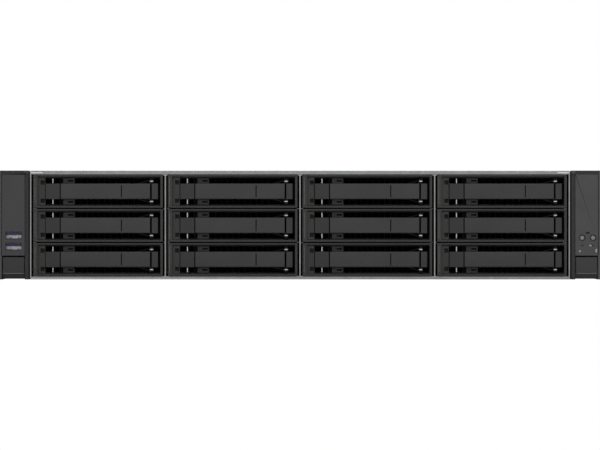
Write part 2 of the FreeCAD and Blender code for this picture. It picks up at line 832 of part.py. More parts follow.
def board_details():
    """Chip heat sink, expansion sockets, power sockets and the clock battery."""
    top = board_top
    front = board_rear - 125
    sink_base = block(20, 62, front, front + 42, top, top + 3)
    sink_fins = [block(20 + i * 4.5, 21.5 + i * 4.5, front, front + 42, top + 2.5, top + 16)
                 for i in range(10)]
    sockets = [block(x, x + 9, board_rear - 145, board_rear - 35, top, top + 12)
               for x in (60 - board_half, -20.0)]
    power = [block(board_narrow - 23, board_narrow - 5, y, y + 34, top, top + 11)
             for y in (board_rear - 195, board_rear - 135)]
    battery = rod((-board_half / 2 + 10, board_rear - 175, top), 10, 3.2, along_z)
    return [joined([sink_base] + sink_fins)] + sockets + power + [battery]


def processor_coolers():
    """Finned coolers standing on the processors."""
    coolers = []
    half = cooler_width / 2
    start = memory_start + (memory_length - cooler_length) / 2
    floor = board_top + processor_height
    count = int(cooler_width // cooler_fin_pitch)
    spread = (count - 1) * cooler_fin_pitch + cooler_fin
    for x in processor_places():
        base = block(x - half, x + half, start, start + cooler_length, floor, floor + cooler_base)
        left = x - spread / 2
        fins = [block(left + i * cooler_fin_pitch, left + i * cooler_fin_pitch + cooler_fin, start,
                      start + cooler_length, floor + cooler_base - 0.5, floor + cooler_height)
                for i in range(count)]
        coolers.append(joined([base] + fins))
    return coolers


# ---- Power supplies -----------------------------------------------------------------

def power_supply(floor):
    """Steel body with the latch pocket and mains inlet, a handle, and the edge connector."""
    back = chassis_depth
    top = floor + psu_height
    body = block(psu_left, psu_right, psu_front, back, floor, top)
    middle = floor + psu_height / 2
    pocket = block(psu_right - latch_pocket - 2, psu_right - 2, back - latch_inside - 4, back + 1,
                   middle - latch_height / 2 - 0.5, middle + latch_height / 2 + 0.5)
    pivot_x = psu_right - 2 - latch_pocket / 2 + 1
    pivot_y = back - latch_inside + 3
    pivot = rod((pivot_x, pivot_y, middle - latch_height / 2 - 3), 1.5 + pin_clearance,
                latch_height + 6, along_z)
    inlet_left = psu_left + 4
    inlet = block(inlet_left, inlet_left + 24.5, back - 16, back + 1, middle - 8.3, middle + 8.3)
    fan_x = psu_left + 46
    fan_round = rod((fan_x, back - 6, middle), 15.5, 7, along_y)
    body = body.cut([pocket, pivot, inlet, fan_round])
    pins = [block(inlet_left + 12.25 + dx - 1, inlet_left + 12.25 + dx + 1, back - 16, back - 4,
                  middle + dz - 2, middle + dz + 2) for dx, dz in ((-7, -1.5), (7, -1.5), (0, 2.5))]
    hub = rod((fan_x, back - 6, middle), 7, 4, along_y)
    edge = block(psu_left + 10, psu_left + 60, psu_front - 10, psu_front, middle - 0.8, middle + 0.8)
    return [body, psu_guard(fan_x, middle), hub, psu_handle(middle), edge] + pins


def psu_guard(x, z):
    """Wire guard over the power supply's air outlet: rings and a cross."""
    front = chassis_depth - 1.4
    rings = []
    for radius in (15.5, 11.5, 7.5):
        ring = rod((x, front, z), radius, 1.2, along_y).cut(rod((x, front - 1, z), radius - 1.2, 4, along_y))
        rings.append(ring)
    bars = [block(x - 15, x + 15, front, front + 1.2, z - 0.6, z + 0.6),
            block(x - 0.6, x + 0.6, front, front + 1.2, z - 15, z + 15)]
    limit = rod((x, front, z), 15.5, 1.2, along_y)
    return joined(rings + [bar.common(limit) for bar in bars])


def psu_handle(middle):
    """Upright grip behind the air outlet."""
    left = psu_left + 30.2
    back = chassis_depth
    end = back + psu_handle_reach
    half = 17.0
    grip = block(left, left + 4, back, end, middle - half, middle + half)
    gap = block(left - 1, left + 5, back - 1, end - psu_handle_bar, middle - half + 4, middle + half - 4)
    return grip.cut(gap)


def psu_latch(floor):
    """Thumb latch that turns on its pin in the side pocket of a power supply."""
    back = chassis_depth
    middle = floor + psu_height / 2
    x = psu_right - 2 - latch_pocket / 2 + 1
    half = latch_thickness / 2
    tab = block(x - half, x + half, back - latch_inside + 3, back + latch_reach,
                middle - latch_height / 2, middle + latch_height / 2)
    thumb = block(x - half - 2.5, x + half, back + latch_reach - 2, back + latch_reach,
                  middle - latch_height / 2, middle + latch_height / 2)
    barrel = rod((x, back - latch_inside + 3, middle - latch_height / 2), 2.4, latch_height, along_z)
    pin = rod((x, back - latch_inside + 3, middle - latch_height / 2 - 2), 1.5, latch_height + 4, along_z)
    return joined([tab, thumb, barrel, pin])


# ---- Covers -------------------------------------------------------------------------

def front_cover():
    """Fixed sheet over the bays with a folded front edge, and its flat-head screws."""
    fold_bottom = bay_top + ledge_gap + 0.1
    back = cover_split - cover_gap
    plate = block(-half_outside, half_outside, bezel_setback, back, cover_underside, chassis_height)
    fold = block(-half_inside, half_inside, bezel_setback, bezel_setback + sheet, fold_bottom,
                 chassis_height)
    places = [(x, y) for x in (-half_inside + 12, 0, half_inside - 12) for y in (14, back - 12)]
    sinks = [rod((x, y, chassis_height - screw_head), screw_radius, screw_head + 1, along_z)
             for x, y in places]
    heads = [rod((x, y, chassis_height - screw_head), screw_radius - 0.1, screw_head - 0.1, along_z)
             for x, y in places]
    return [joined([plate, fold]).cut(sinks)] + heads


def top_cover():
    """Removable sheet with side skirts, pins in the chassis notches and the latch's recess."""
    skirt_outer = half_inside - skirt_gap
    skirt_end = rear_panel - skirt_height - 2
    plate = block(-half_outside, half_outside, cover_split, chassis_depth, cover_underside, chassis_height)
    skirt = block(skirt_outer - sheet, skirt_outer, cover_split + 1, skirt_end,
                  cover_underside - skirt_height, chassis_height - sheet / 2)
    pins = [rod((skirt_outer - sheet / 2, y, z), cover_pin_radius,
                half_outside - 0.1 - skirt_outer + sheet / 2, along_x) for y, z in cover_pin_places()]
    side = joined([skirt] + pins)
    half = tray_width / 2
    floor = chassis_height - tray_depth - sheet
    tray = block(-half - sheet, half + sheet, tray_start - sheet, tray_start + tray_length + sheet,
                 floor, chassis_height)
    cavity = block(-half, half, tray_start, tray_start + tray_length, floor + sheet, chassis_height + 1)
    pin_hole = rod((-half - 3, latch_axis_depth(), latch_axis_height()),
                   latch_pin_radius + pin_clearance, tray_width + 6, along_x)
    return joined([plate, side, flipped(side), tray]).cut([cavity, pin_hole])


def latch_axis_depth():
    """Depth of the cover latch's pin."""
    return tray_start + 5


def latch_axis_height():
    """Height of the cover latch's pin."""
    return chassis_height - latch_plate - 1.0


def cover_latch():
    """Flat lever in the cover's recess with a finger notch, on its own pin."""
    half = tray_width / 2 - 1.5
    front = tray_start + 3
    back = tray_start + tray_length - 1.5
    top = chassis_height - 0.3
    plate = block(-half, half, front, back, top - latch_plate, top)
    notch = block(-16, 16, back - 9, back + 1, top - latch_plate - 1, top + 1)
    barrel = rod((-half, latch_axis_depth(), latch_axis_height()), latch_pin_radius + 0.9, 2 * half, along_x)
    pin = rod((-tray_width / 2 - sheet + 0.2, latch_axis_depth(), latch_axis_height()),
              latch_pin_radius, tray_width + 2 * sheet - 0.4, along_x)
    return joined([plate.cut(notch), barrel, pin])


# ---- Rack ears ----------------------------------------------------------------------
# The right ear is modelled, and the left one is its mirror image.

def ear_shell(windows):
    """Moulded housing, hollow behind its front wall, with the flap's pocket at the foot."""
    body = block(ear_inner, half_rack, 0, ear_depth, 0, chassis_height)
    hollow = block(ear_inner + 2.5, half_rack - ear_wall, ear_skin, ear_depth + 1,
                   pocket_top + 2, chassis_height - 2.5)
    pocket = block(flap_left - 0.1, flap_right + 0.1, -1, ear_depth - 2, -1, pocket_top)
    screw_way = block(flap_left + 2, flap_right - 1, ear_depth - 3, ear_depth + 1, -1, 13)
    panel_right = half_rack - ear_wall + ear_groove / 2
    groove = block(panel_right - ear_groove / 2, panel_right + ear_groove / 2, -1, ear_panel_step,
                   pocket_top, chassis_height + 1)
    frame_step = block(ear_inner, flap_left, -1, 2 * ear_panel_step, -1, chassis_height - 2.5)
    pins = rod((flap_left - flap_pin_bite - 0.2, flap_pivot_back, flap_pivot_height),
               flap_pin_radius + pin_clearance, flap_right - flap_left + 2 * flap_pin_bite + 0.4, along_x)
    return body.cut([hollow, pocket, screw_way, groove, frame_step, pins] + windows)


def rack_flange():
    """Steel plate behind the housing with its leg along the chassis wall and leg screws."""
    front = ear_depth
    back = ear_depth + flange_thickness
    plate = block(half_outside, half_rack, front, back, 0, chassis_height)
    hole = rod((half_rack - rack_hole_from_side, front - 1, rack_hole_height), rack_hole_radius,
               flange_thickness + 2, along_y)
    leg = block(half_outside, half_outside + leg_thickness, back, back + leg_length, 5, chassis_height - 5)
    screws = [rod((half_outside + leg_thickness, back + leg_length / 2 + 6, z), screw_radius, 1.4, along_x)
              for z in (16.0, 44.0, 72.0)]
    return [joined([plate.cut(hole), leg])] + screws


def ear_circuit():
    """Small circuit board across the housing."""
    return block(ear_inner + 2.5, half_rack - ear_wall, ear_board_depth,
                 ear_board_depth + ear_board_thickness, pocket_top + 2, pocket_top + 28)


def usb_place(height):
    """Centre of a USB socket's face on the right-hand side, before mirroring."""
    return half_rack - usb_from_side, height


def usb_windows():
    """Openings of the ear's front wall round the USB sockets."""
    cuts = []
    for height in usb_heights:
        x, z = usb_place(height)
        cuts.append(block(x - usb_width / 2 - 0.2, x + usb_width / 2 + 0.2, -1, ear_skin + 1,
                          z - usb_height / 2 - 0.2, z + usb_height / 2 + 0.2))
    return cuts


def usb_ports():
    """Two USB sockets of the left ear, as on the right-hand side: a steel shell round a tongue."""
    solids = []
    front = 0.8
    for height in usb_heights:
        x, z = usb_place(height)
        half_x = usb_width / 2
        half_z = usb_height / 2
        shell = block(x - half_x, x + half_x, front, ear_board_depth, z - half_z, z + half_z)
        inside = block(x - half_x + usb_wall, x + half_x - usb_wall, front - 1, ear_board_depth - 1,
                       z - half_z + usb_wall, z + half_z - usb_wall)
        tongue = block(x - half_x + 0.9, x + half_x - 0.9, front + 1, ear_board_depth - 1,
                       z + 0.3, z + 2.1)
        solids += [shell.cut(inside), tongue]
    return solids


def button_places():
    """X of the power button and of the ID button on the right ear."""
    return half_rack - power_button_from_side, half_rack - id_button_from_side


def control_windows():
    """Round openings for the buttons and small ones for the indicators and pinholes."""
    cuts = []
    for x in button_places():
        place = (x, -1, panel_button_height)
        cuts.append(rod(place, panel_button_radius + slide_gap, ear_skin + 2, along_y))
        cuts.append(rod(place, panel_button_ring, 1 + ear_panel_step, along_y))
        cuts.append(rod((x, -1, indicator_height), 0.6, 3, along_y))
    cuts += [block(x0, x1, -1, ear_skin + 1, z0, z1) for x0, x1, z0, z1 in indicator_places()]
    slot_x = sum(button_places()) / 2
    slot_z = panel_button_height + 3.9
    cuts.append(block(slot_x - 1.6, slot_x + 1.6, -1, 1.5, slot_z - 0.8, slot_z + 0.8))
    return cuts


def indicator_places():
    """Windows of the status lights: left, right, bottom and top of each."""
    x = sum(button_places()) / 2
    return ((x + 1.2, x + 3.1, indicator_height - 0.65, indicator_height + 0.65),
            (x + 6.1, x + 7.6, indicator_height - 5.6, indicator_height - 2.6),
            (x - 7.0, x - 5.6, indicator_height - 5.4, indicator_height - 3.8))


def indicator_lenses():
    """Light pipes that fill the indicator windows, back to the circuit board."""
    return [block(x0, x1, 0.1, ear_board_depth, z0, z1) for x0, x1, z0, z1 in indicator_places()]


def switch_bodies():
    """Switches behind the two panel buttons, on the circuit board."""
    front = ear_skin + 6.0 + panel_button_travel + 0.3
    return [block(x - 3, x + 3, front, ear_board_depth, panel_button_height - 3, panel_button_height + 3)
            for x in button_places()]


def panel_button(x):
    """Round push button with the collar that keeps it in the housing and a stem."""
    z = panel_button_height
    cap = rod((x, 0.5, z), panel_button_radius, ear_skin + 0.5, along_y)
    collar = rod((x, ear_skin + 0.3, z), panel_button_radius + 0.8, 1.0, along_y)
    stem = rod((x, ear_skin + 1.0, z), 1.0, 5.0, along_y)
    return joined([cap, collar, stem])


def latch_flap():
    """Hinged flap over the rack screw, with a finger lip and a pin at each side."""
    left = flap_left + flap_side_gap
    right = flap_right - flap_side_gap
    top = flap_bottom + flap_height
    plate = block(left, right, flap_front, flap_front + flap_thickness, flap_bottom, top)
    lip_height = 4.6
    under = prism_along_x([(flap_front - 1, flap_bottom - 1), (flap_front + 2.2, flap_bottom - 1),
                           (flap_front + 1.2, lip_height), (flap_front - 1, lip_height)],
                          left - 1, right + 1)
    pin = rod((left - flap_side_gap - flap_pin_bite + 0.2, flap_pivot_back, flap_pivot_height),
              flap_pin_radius, right - left + 2 * flap_side_gap + 2 * flap_pin_bite - 0.4, along_x)
    return joined([plate.cut(under), pin])


# ---- Writing the parts --------------------------------------------------------------

def write_all():
    os.makedirs("parts", exist_ok=True)
    write_carriers()
    write("chassis_pan", chassis_pan() + rail_studs())
    write("rear_panel", [rear_plate()] + supply_bay_walls() + slot_covers())
    write("drive_cage", drive_cage())
    write("backplane", backplane())
    write("fan_wall", fan_wall())
    for number, x in enumerate(fan_places(), 1):
        write("fan_rotor_%d" % number, [fan_rotor(x)])
    write("system_board", system_board())
    write("memory_modules", memory_modules())
    for number, floor in enumerate(psu_floors, 1):
        write("power_supply_%d" % number, power_supply(floor))
        write("power_supply_latch_%d" % number, [psu_latch(floor)])
    write("front_cover", front_cover())
    write("top_cover", [top_cover()])
    write("cover_latch", [cover_latch()])
    left_ear = [ear_shell(usb_windows()), ear_circuit()] + usb_ports() + rack_flange()
    write("left_ear", [flipped(solid) for solid in left_ear])
    right_ear = [ear_shell(control_windows()), ear_circuit()] + indicator_lenses() + switch_bodies()
    write("right_ear", right_ear + rack_flange())
    power_x, id_x = button_places()
    write("power_button", [panel_button(power_x)])
    write("id_button", [panel_button(id_x)])
    write("left_ear_latch", [flipped(latch_flap())])
    write("right_ear_latch", [latch_flap()])


write_all()
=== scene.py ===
"""Looks of a two-unit rack server: every finish, and the shapes that the light catches.

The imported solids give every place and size. Each operator below models one kind of piece
round its solid and hangs it on the body that carries it.
"""
import math

import bmesh
import bpy
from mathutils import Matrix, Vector


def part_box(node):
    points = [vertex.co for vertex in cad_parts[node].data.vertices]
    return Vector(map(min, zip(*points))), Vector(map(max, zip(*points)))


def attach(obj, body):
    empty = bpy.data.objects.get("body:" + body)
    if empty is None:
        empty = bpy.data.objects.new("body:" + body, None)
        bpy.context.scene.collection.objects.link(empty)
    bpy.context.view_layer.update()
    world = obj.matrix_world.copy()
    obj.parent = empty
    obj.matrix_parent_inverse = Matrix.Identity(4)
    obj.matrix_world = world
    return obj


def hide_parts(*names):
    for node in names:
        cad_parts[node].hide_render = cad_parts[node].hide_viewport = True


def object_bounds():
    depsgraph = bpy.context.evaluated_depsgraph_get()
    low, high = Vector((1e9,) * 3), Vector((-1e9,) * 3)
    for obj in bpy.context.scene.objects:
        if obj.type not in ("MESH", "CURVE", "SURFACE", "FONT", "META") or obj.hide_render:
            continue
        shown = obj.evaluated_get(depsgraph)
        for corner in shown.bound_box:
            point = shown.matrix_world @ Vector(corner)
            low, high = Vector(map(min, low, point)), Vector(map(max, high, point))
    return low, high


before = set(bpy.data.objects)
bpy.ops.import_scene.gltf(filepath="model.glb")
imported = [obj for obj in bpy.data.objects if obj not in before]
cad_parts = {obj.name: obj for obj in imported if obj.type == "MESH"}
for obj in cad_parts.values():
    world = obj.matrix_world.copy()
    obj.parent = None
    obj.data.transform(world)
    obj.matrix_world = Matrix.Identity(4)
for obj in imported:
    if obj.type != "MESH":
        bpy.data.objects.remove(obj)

bl_info = {
    "name": "Two-unit rack server",
    "version": (1, 0, 0),
    "blender": (4, 5, 0),
    "location": "View3D > Sidebar > Rack server",
    "description": "Models and finishes the visible pieces of a two-unit rack server",
    "category": "Add Mesh",
}

MM = 0.001
CAD_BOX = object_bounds()
COLUMNS = 4
ROWS = 3
BAYS = ["%02d" % number for number in range(1, COLUMNS * ROWS + 1)]
MOULDED_ANGLE = 35.0    # degrees; sharper edges of a modelled piece are rounded
SHARP_ANGLE = 40.0      # degrees; sharper edges keep their crease


# ---- Colour -------------------------------------------------------------------------

def linear(hex_colour):
    """Linear red, green and blue of an sRGB hex colour such as #3a3a3a."""
    values = [int(hex_colour[i:i + 2], 16) / 255 for i in (1, 3, 5)]
    return [v / 12.92 if v <= 0.04045 else ((v + 0.055) / 1.055) ** 2.4 for v in values]


def shade(colour, factor):
    """The same hue, darker or lighter, as a colour for a socket."""
    return [min(1.0, max(0.0, c * factor)) for c in colour[:3]] + [1.0]


# ---- Settings a user would change ---------------------------------------------------

def length_setting(label, text, millimetres):
    return bpy.props.FloatProperty(name=label, description=text, default=millimetres * MM,
                                   min=0.0, unit="LENGTH", precision=5)


def colour_setting(label, text, hex_colour):
    return bpy.props.FloatVectorProperty(name=label, description=text, default=linear(hex_colour),
                                         min=0.0, max=1.0, subtype="COLOR", size=3)


class RackServerSizes(bpy.types.PropertyGroup):
    """Sizes of what is modelled on top of the solids."""
    edge: length_setting("Moulded edge", "Radius on the edges of moulded plastic parts", 0.3)
    fold: length_setting("Sheet edge", "Radius on folds and edges of sheet steel", 0.25)
    bezel_depth: length_setting("Bezel depth", "Front to back of a carrier's bezel", 24.0)
    bezel_inset: length_setting("Bezel inset", "Bezel side inside the rail's outer face", 0.8)
    stile_left: length_setting("Left stile", "Width of the bezel's left upright", 3.6)
    stile_right: length_setting("Right stile", "Width of the bezel's right upright", 2.0)
    bar: length_setting("Bar height", "Height of the bezel's top and bottom bars", 2.5)
    recess: length_setting("Recess depth", "Depth of the lever's recess in the bezel", 9.0)
    fin_pitch: length_setting("Fin pitch", "Distance between the air fins of a bezel", 4.72)
    fin: length_setting("Fin thickness", "Thickness of an air fin", 0.5)
    ear_gap: length_setting("Ear gap", "Chassis wall to the housing of an ear", 1.2)
    ear_depth: length_setting("Ear depth", "Front to back of an ear's housing", 36.0)


class RackServerColours(bpy.types.PropertyGroup):
    """Base colours of the finishes."""
    bezel: colour_setting("Bezel", "Moulded carrier bezel", "#2b2b2a")
    lever: colour_setting("Lever", "Moulded carrier lever", "#323232")
    button: colour_setting("Release button", "Moulded release button", "#232323")
    ear: colour_setting("Ear", "Moulded housing of the rack ears", "#3a3a3a")
    control: colour_setting("Control button", "Power and ID buttons", "#8a8a8a")
    steel: colour_setting("Steel", "Zinc-plated sheet steel", "#b4b6b6")
    cover: colour_setting("Cover", "Coated steel of the covers", "#8d8f90")
    board: colour_setting("Circuit board", "Solder mask of the boards", "#0f3a22")


class RackServerStage(bpy.types.PropertyGroup):
    """Light, floor and camera."""
    lens: bpy.props.FloatProperty(name="Lens", description="Focal length in millimetres", default=200.0)
    key: bpy.props.FloatProperty(name="Key light", description="Power of the large front light, in watts",
                                 default=14.0, min=0.0)
    top: bpy.props.FloatProperty(name="Top light", description="Power of the light above, in watts",
                                 default=30.0, min=0.0)
    fill: bpy.props.FloatProperty(name="Fill", description="Strength of the light from all round",
                                  default=0.25, min=0.0)


# ---- Modelling helpers --------------------------------------------------------------

def rest_selection():
    """Object mode, with nothing selected."""
    if bpy.context.object and bpy.context.object.mode != "OBJECT":
        bpy.ops.object.mode_set(mode="OBJECT")
    bpy.ops.object.select_all(action="DESELECT")


def make_active(piece):
    rest_selection()
    piece.select_set(True)
    bpy.context.view_layer.objects.active = piece


def edit(piece, kind="FACE"):
    """Edit mode with nothing picked."""
    make_active(piece)
    bpy.ops.object.mode_set(mode="EDIT")
    bpy.ops.mesh.select_mode(type=kind)
    bpy.ops.mesh.select_all(action="DESELECT")


def pick(piece, test, kind="FACE"):
    """Picks the faces, edges or corners for which test(place, normal or direction) is true."""
    edit(piece, kind)
    mesh = bmesh.from_edit_mesh(piece.data)
    if kind == "FACE":
        for face in mesh.faces:
            face.select_set(test(face.calc_center_median(), face.normal))
    elif kind == "EDGE":
        for edge in mesh.edges:
            a, b = edge.verts[0].co, edge.verts[1].co
            edge.select_set(test((a + b) / 2, b - a))
    else:
        for corner in mesh.verts:
            corner.select_set(test(corner.co, corner.normal))
    mesh.select_flush_mode()
    bmesh.update_edit_mesh(piece.data)


def done():
    bpy.ops.object.mode_set(mode="OBJECT")


def start_block(name, low, high):
    """A cube primitive drawn out in edit mode between two corners."""
    rest_selection()
    low, high = Vector(low), Vector(high)
    bpy.ops.mesh.primitive_cube_add(size=1.0)
    piece = bpy.context.object
    piece.name = name
    piece.data.name = name
    bpy.ops.object.mode_set(mode="EDIT")
    bpy.ops.mesh.select_all(action="SELECT")
    bpy.ops.transform.resize(value=high - low)
    bpy.ops.transform.translate(value=(low + high) / 2)
    done()
    return piece


def start_rod(name, start, radius, length, axis, sides=32):
    """A cylinder primitive from a place along X, Y or Z."""
    rest_selection()
    turn = {"X": (0, math.pi / 2, 0), "Y": (math.pi / 2, 0, 0), "Z": (0, 0, 0)}[axis]
    step = Vector({"X": (1, 0, 0), "Y": (0, 1, 0), "Z": (0, 0, 1)}[axis])
    bpy.ops.mesh.primitive_cylinder_add(vertices=sides, radius=radius, depth=abs(length),
                                        location=Vector(start) + step * length / 2, rotation=turn)
    piece = bpy.context.object
    piece.name = name
    piece.data.name = name
    bpy.ops.object.transform_apply(location=True, rotation=True, scale=True)
    return piece


def move_picked(piece, test, shift):
    """Moves the corners that the test picks."""
    pick(piece, test, "VERT")
    bpy.ops.transform.translate(value=shift)
    done()


def round_edges(piece, test, radius, segments=3):
    """Rounds or chamfers the edges that the test picks."""
    pick(piece, test, "EDGE")
    bpy.ops.mesh.bevel(offset=radius, offset_type="OFFSET", segments=segments, affect="EDGES")
    done()


def extrude_in(piece, test, wall, depth):
    """Insets the picked face, then extrudes it by a vector to leave a pocket or a boss."""
    pick(piece, test)
    bpy.ops.mesh.inset(thickness=wall)
    bpy.ops.mesh.extrude_region_move(TRANSFORM_OT_translate={"value": depth})
    done()


def near(value, target, reach=0.00002):
    return abs(value - target) < reach


def join(name, pieces):
    """One object made of several, each still a closed shell of its own."""
    make_active(pieces[0])
    for piece in pieces[1:]:
        piece.select_set(True)
    if len(pieces) > 1:
        bpy.ops.object.join()
    joined = bpy.context.object
    joined.name = name
    joined.data.name = name
    return joined


def combine(piece, tools, how):
    """Cuts the tools out of a piece, or melts them into it."""
    if not tools:
        return piece
    tool = join("tool", tools)
    make_active(piece)
    change = piece.modifiers.new("combine", "BOOLEAN")
    change.operation = how
    change.solver = "EXACT"
    change.use_self = True
    change.object = tool
    bpy.ops.object.modifier_apply(modifier=change.name)
    bpy.data.objects.remove(tool)
    return piece


def cut(piece, tools):
    return combine(piece, tools, "DIFFERENCE")


def melt(piece, tools):
    for tool in tools:
        combine(piece, [tool], "UNION")
    return piece


def add_rounding(piece, radius, segments, angle):
    """Bevel modifier on every edge sharper than an angle in degrees."""
    change = piece.modifiers.new("rounding", "BEVEL")
    change.width = radius
    change.segments = segments
    change.limit_method = "ANGLE"
    change.angle_limit = math.radians(angle)
    change.use_clamp_overlap = True
    return change


def soften(piece, radius, segments=2):
    """Rounds every edge sharper than the angle of a moulded edge."""
    make_active(piece)
    change = add_rounding(piece, radius, segments, MOULDED_ANGLE)
    bpy.ops.object.modifier_apply(modifier=change.name)
    return piece


def smooth(piece):
    """Smooth shading that keeps sharp edges and leaves the large flat faces flat."""
    make_active(piece)
    bpy.ops.object.shade_smooth_by_angle(angle=math.radians(SHARP_ANGLE))
    change = piece.modifiers.new("flat_faces", "WEIGHTED_NORMAL")
    change.keep_sharp = True
    change.weight = 100
    bpy.ops.object.modifier_apply(modifier=change.name)
    return piece


def finish_piece(piece, material, body, nodes=()):
    """Gives a piece its material, its body and the solids it stands for."""
    if material is not None:
        piece.data.materials.clear()
        piece.data.materials.append(material)
    smooth(piece)
    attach(piece, body)
    if nodes:
        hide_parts(*nodes)
    rest_selection()
    return piece


def copy_of(piece, name, shift):
    """A moved copy with its own mesh and its place in its mesh."""
    make_active(piece)
    bpy.ops.object.duplicate()
    other = bpy.context.object
    other.name = name
    other.data.name = name
    other.location = Vector(shift)
    bpy.ops.object.transform_apply(location=True, rotation=True, scale=True)
    return other


def paint(piece, material, test):
    """Gives a second finish to the faces that the test picks by place and normal."""
    piece.data.materials.append(material)
    number = len(piece.data.materials) - 1
    for face in piece.data.polygons:
        if test(face.center, face.normal):
            face.material_index = number


def solids_of(mesh):
    """Faces of each separate solid of a mesh, with the solid's lowest and highest corner."""
    owner = {}
    def root(key):
        while owner[key] != key:
            owner[key] = owner[owner[key]]
            key = owner[key]
        return key
    keys = [tuple(round(c * 1e6) for c in corner.co) for corner in mesh.vertices]
    for key in keys:
        owner.setdefault(key, key)
    for face in mesh.polygons:
        first = root(keys[face.vertices[0]])
        for number in face.vertices[1:]:
            owner[root(keys[number])] = first
    groups = {}
    for face in mesh.polygons:
        groups.setdefault(root(keys[face.vertices[0]]), []).append(face)
    found = []
    for faces in groups.values():
        corners = [mesh.vertices[number].co for face in faces for number in face.vertices]
        low = Vector([min(c[axis] for c in corners) for axis in range(3)])
        high = Vector([max(c[axis] for c in corners) for axis in range(3)])
        found.append((faces, low, high))
    return found


def finish_node(node, choose, fold=0.0):
    """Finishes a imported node: choose(low, high) names the finish of each of its solids."""
    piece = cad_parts[node]
    piece.data.materials.clear()
    numbers = {}
    for faces, low, high in solids_of(piece.data):
        key = choose(low, high)
        if key not in numbers:
            piece.data.materials.append(finishes()[key])
            numbers[key] = len(piece.data.materials) - 1
        for face in faces:
            face.material_index = numbers[key]
    if fold:
        add_rounding(piece, fold, 2, SHARP_ANGLE)
    return piece


def spread(first, stem, material, body_stem, node_stem=None):
    """Copies a first-bay piece to every bay and hangs each copy on that bay's body."""
    for bay in BAYS:
        piece = first if bay == "01" else copy_of(first, stem + bay, bay_shift(bay))
        piece.name = piece.data.name = stem + bay
        nodes = [node_stem + bay] if node_stem else []
        finish_piece(piece, finishes()[material], body_stem + bay, nodes)


def bay_shift(bay):
    """From the first bay to another one."""
    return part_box("drive_carrier_" + bay)[0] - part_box("drive_carrier_01")[0]


# ---- Materials ----------------------------------------------------------------------

def add_node(material, kind, settings=None, links=None):
    """Adds one node: settings fill its properties or sockets, links feed its sockets."""
    node = material.node_tree.nodes.new(kind)
    for key, value in (settings or {}).items():
        if isinstance(key, str) and key in node.bl_rna.properties:
            setattr(node, key, value)
        else:
            node.inputs[key].default_value = value
    for key, source in (links or {}).items():
        material.node_tree.links.new(source, node.inputs[key])
    return node


def new_material(name):
    """An empty material with its surface shader and object coordinates."""
    material = bpy.data.materials.new(name)
    material.use_nodes = True
    material.node_tree.nodes.clear()
    surface = add_node(material, "ShaderNodeBsdfPrincipled")
    output = add_node(material, "ShaderNodeOutputMaterial", links={"Surface": surface.outputs["BSDF"]})
    output.location = (400, 0)
    place = add_node(material, "ShaderNodeTexCoord").outputs["Object"]
    return material, surface, place


def per_length(millimetres):
    """Texture scale for a pattern of that size, on coordinates in metres."""
    return 1.0 / (millimetres * MM)


def add_noise(material, place, size, detail=2.0, **more):
    """Noise whose blotches are that many millimetres wide."""
    return add_node(material, "ShaderNodeTexNoise", {"Scale": per_length(size), "Detail": detail, **more},
                    {"Vector": place}).outputs["Fac"]


def feed(material, surface, socket, source):
    """Links an output to one of the surface shader's sockets."""
    material.node_tree.links.new(source, surface.inputs[socket])


def vary_tone(material, surface, colour, dark, light, amount):
    """Base colour between a darker and a lighter shade of one hue."""
    tone = add_node(material, "ShaderNodeMix", {"data_type": "RGBA", 6: shade(colour, dark),
                                                7: shade(colour, light)}, {0: amount})
    feed(material, surface, "Base Color", tone.outputs[2])


def vary_gloss(material, surface, low, high, amount, start=0.3, end=0.7):
    """Roughness from low to high while a pattern goes from start to end."""
    gloss = add_node(material, "ShaderNodeMapRange",
                     {"From Min": start, "From Max": end, "To Min": low, "To Max": high}, {"Value": amount})
    feed(material, surface, "Roughness", gloss.outputs["Result"])


def add_relief(material, surface, strength, depth, height):
    """Bump of that depth in millimetres."""
    bump = add_node(material, "ShaderNodeBump", {"Strength": strength, "Distance": depth * MM},
                    {"Height": height})
    feed(material, surface, "Normal", bump.outputs["Normal"])


def moulded_plastic(name, colour, roughness=0.5, grain=0.7, specular=0.4):
    """ABS blend from a spark-eroded mould: an even fine grain that breaks up the gloss.

    The real grain is about 0.1 mm; it is drawn at 0.7 mm so that it still shows as a faint tooth.
    """
    material, surface, place = new_material(name)
    surface.inputs["IOR"].default_value = 1.52
    surface.inputs["Specular IOR Level"].default_value = specular
    fine = add_noise(material, place, grain, 3.0)
    cloud = add_node(material, "ShaderNodeMapRange",
                     {"From Min": 0.3, "From Max": 0.7, "To Min": 0.0, "To Max": 1.0},
                     {"Value": add_noise(material, place, 28.0)})
    vary_tone(material, surface, colour, 0.90, 1.10, cloud.outputs["Result"])
    vary_gloss(material, surface, roughness - 0.05, roughness + 0.05, fine)
    add_relief(material, surface, 0.35, 0.04, fine)
    return material


def plated_steel(name, colour, roughness=0.34, along="X"):
    """Zinc-plated sheet: faint crystal flowers under rolling lines, cool grey and softly bright."""
    material, surface, place = new_material(name)
    surface.inputs["Metallic"].default_value = 1.0
    stretch = {"X": (0.05, 1, 1), "Y": (1, 0.05, 1), "Z": (1, 1, 0.05)}[along]
    flowers = add_node(material, "ShaderNodeTexVoronoi", {"Scale": per_length(7.0), "Randomness": 1.0},
                       {"Vector": place})
    rolled = add_node(material, "ShaderNodeMapping", {"Scale": stretch}, {"Vector": place})
    lines = add_noise(material, rolled.outputs["Vector"], 0.8, 4.0)
    grey = add_node(material, "ShaderNodeRGBToBW", None, {"Color": flowers.outputs["Color"]})
    vary_tone(material, surface, colour, 0.88, 1.08, grey.outputs["Val"])
    vary_gloss(material, surface, roughness - 0.07, roughness + 0.08, lines)
    add_relief(material, surface, 0.12, 0.02, lines)
    return material


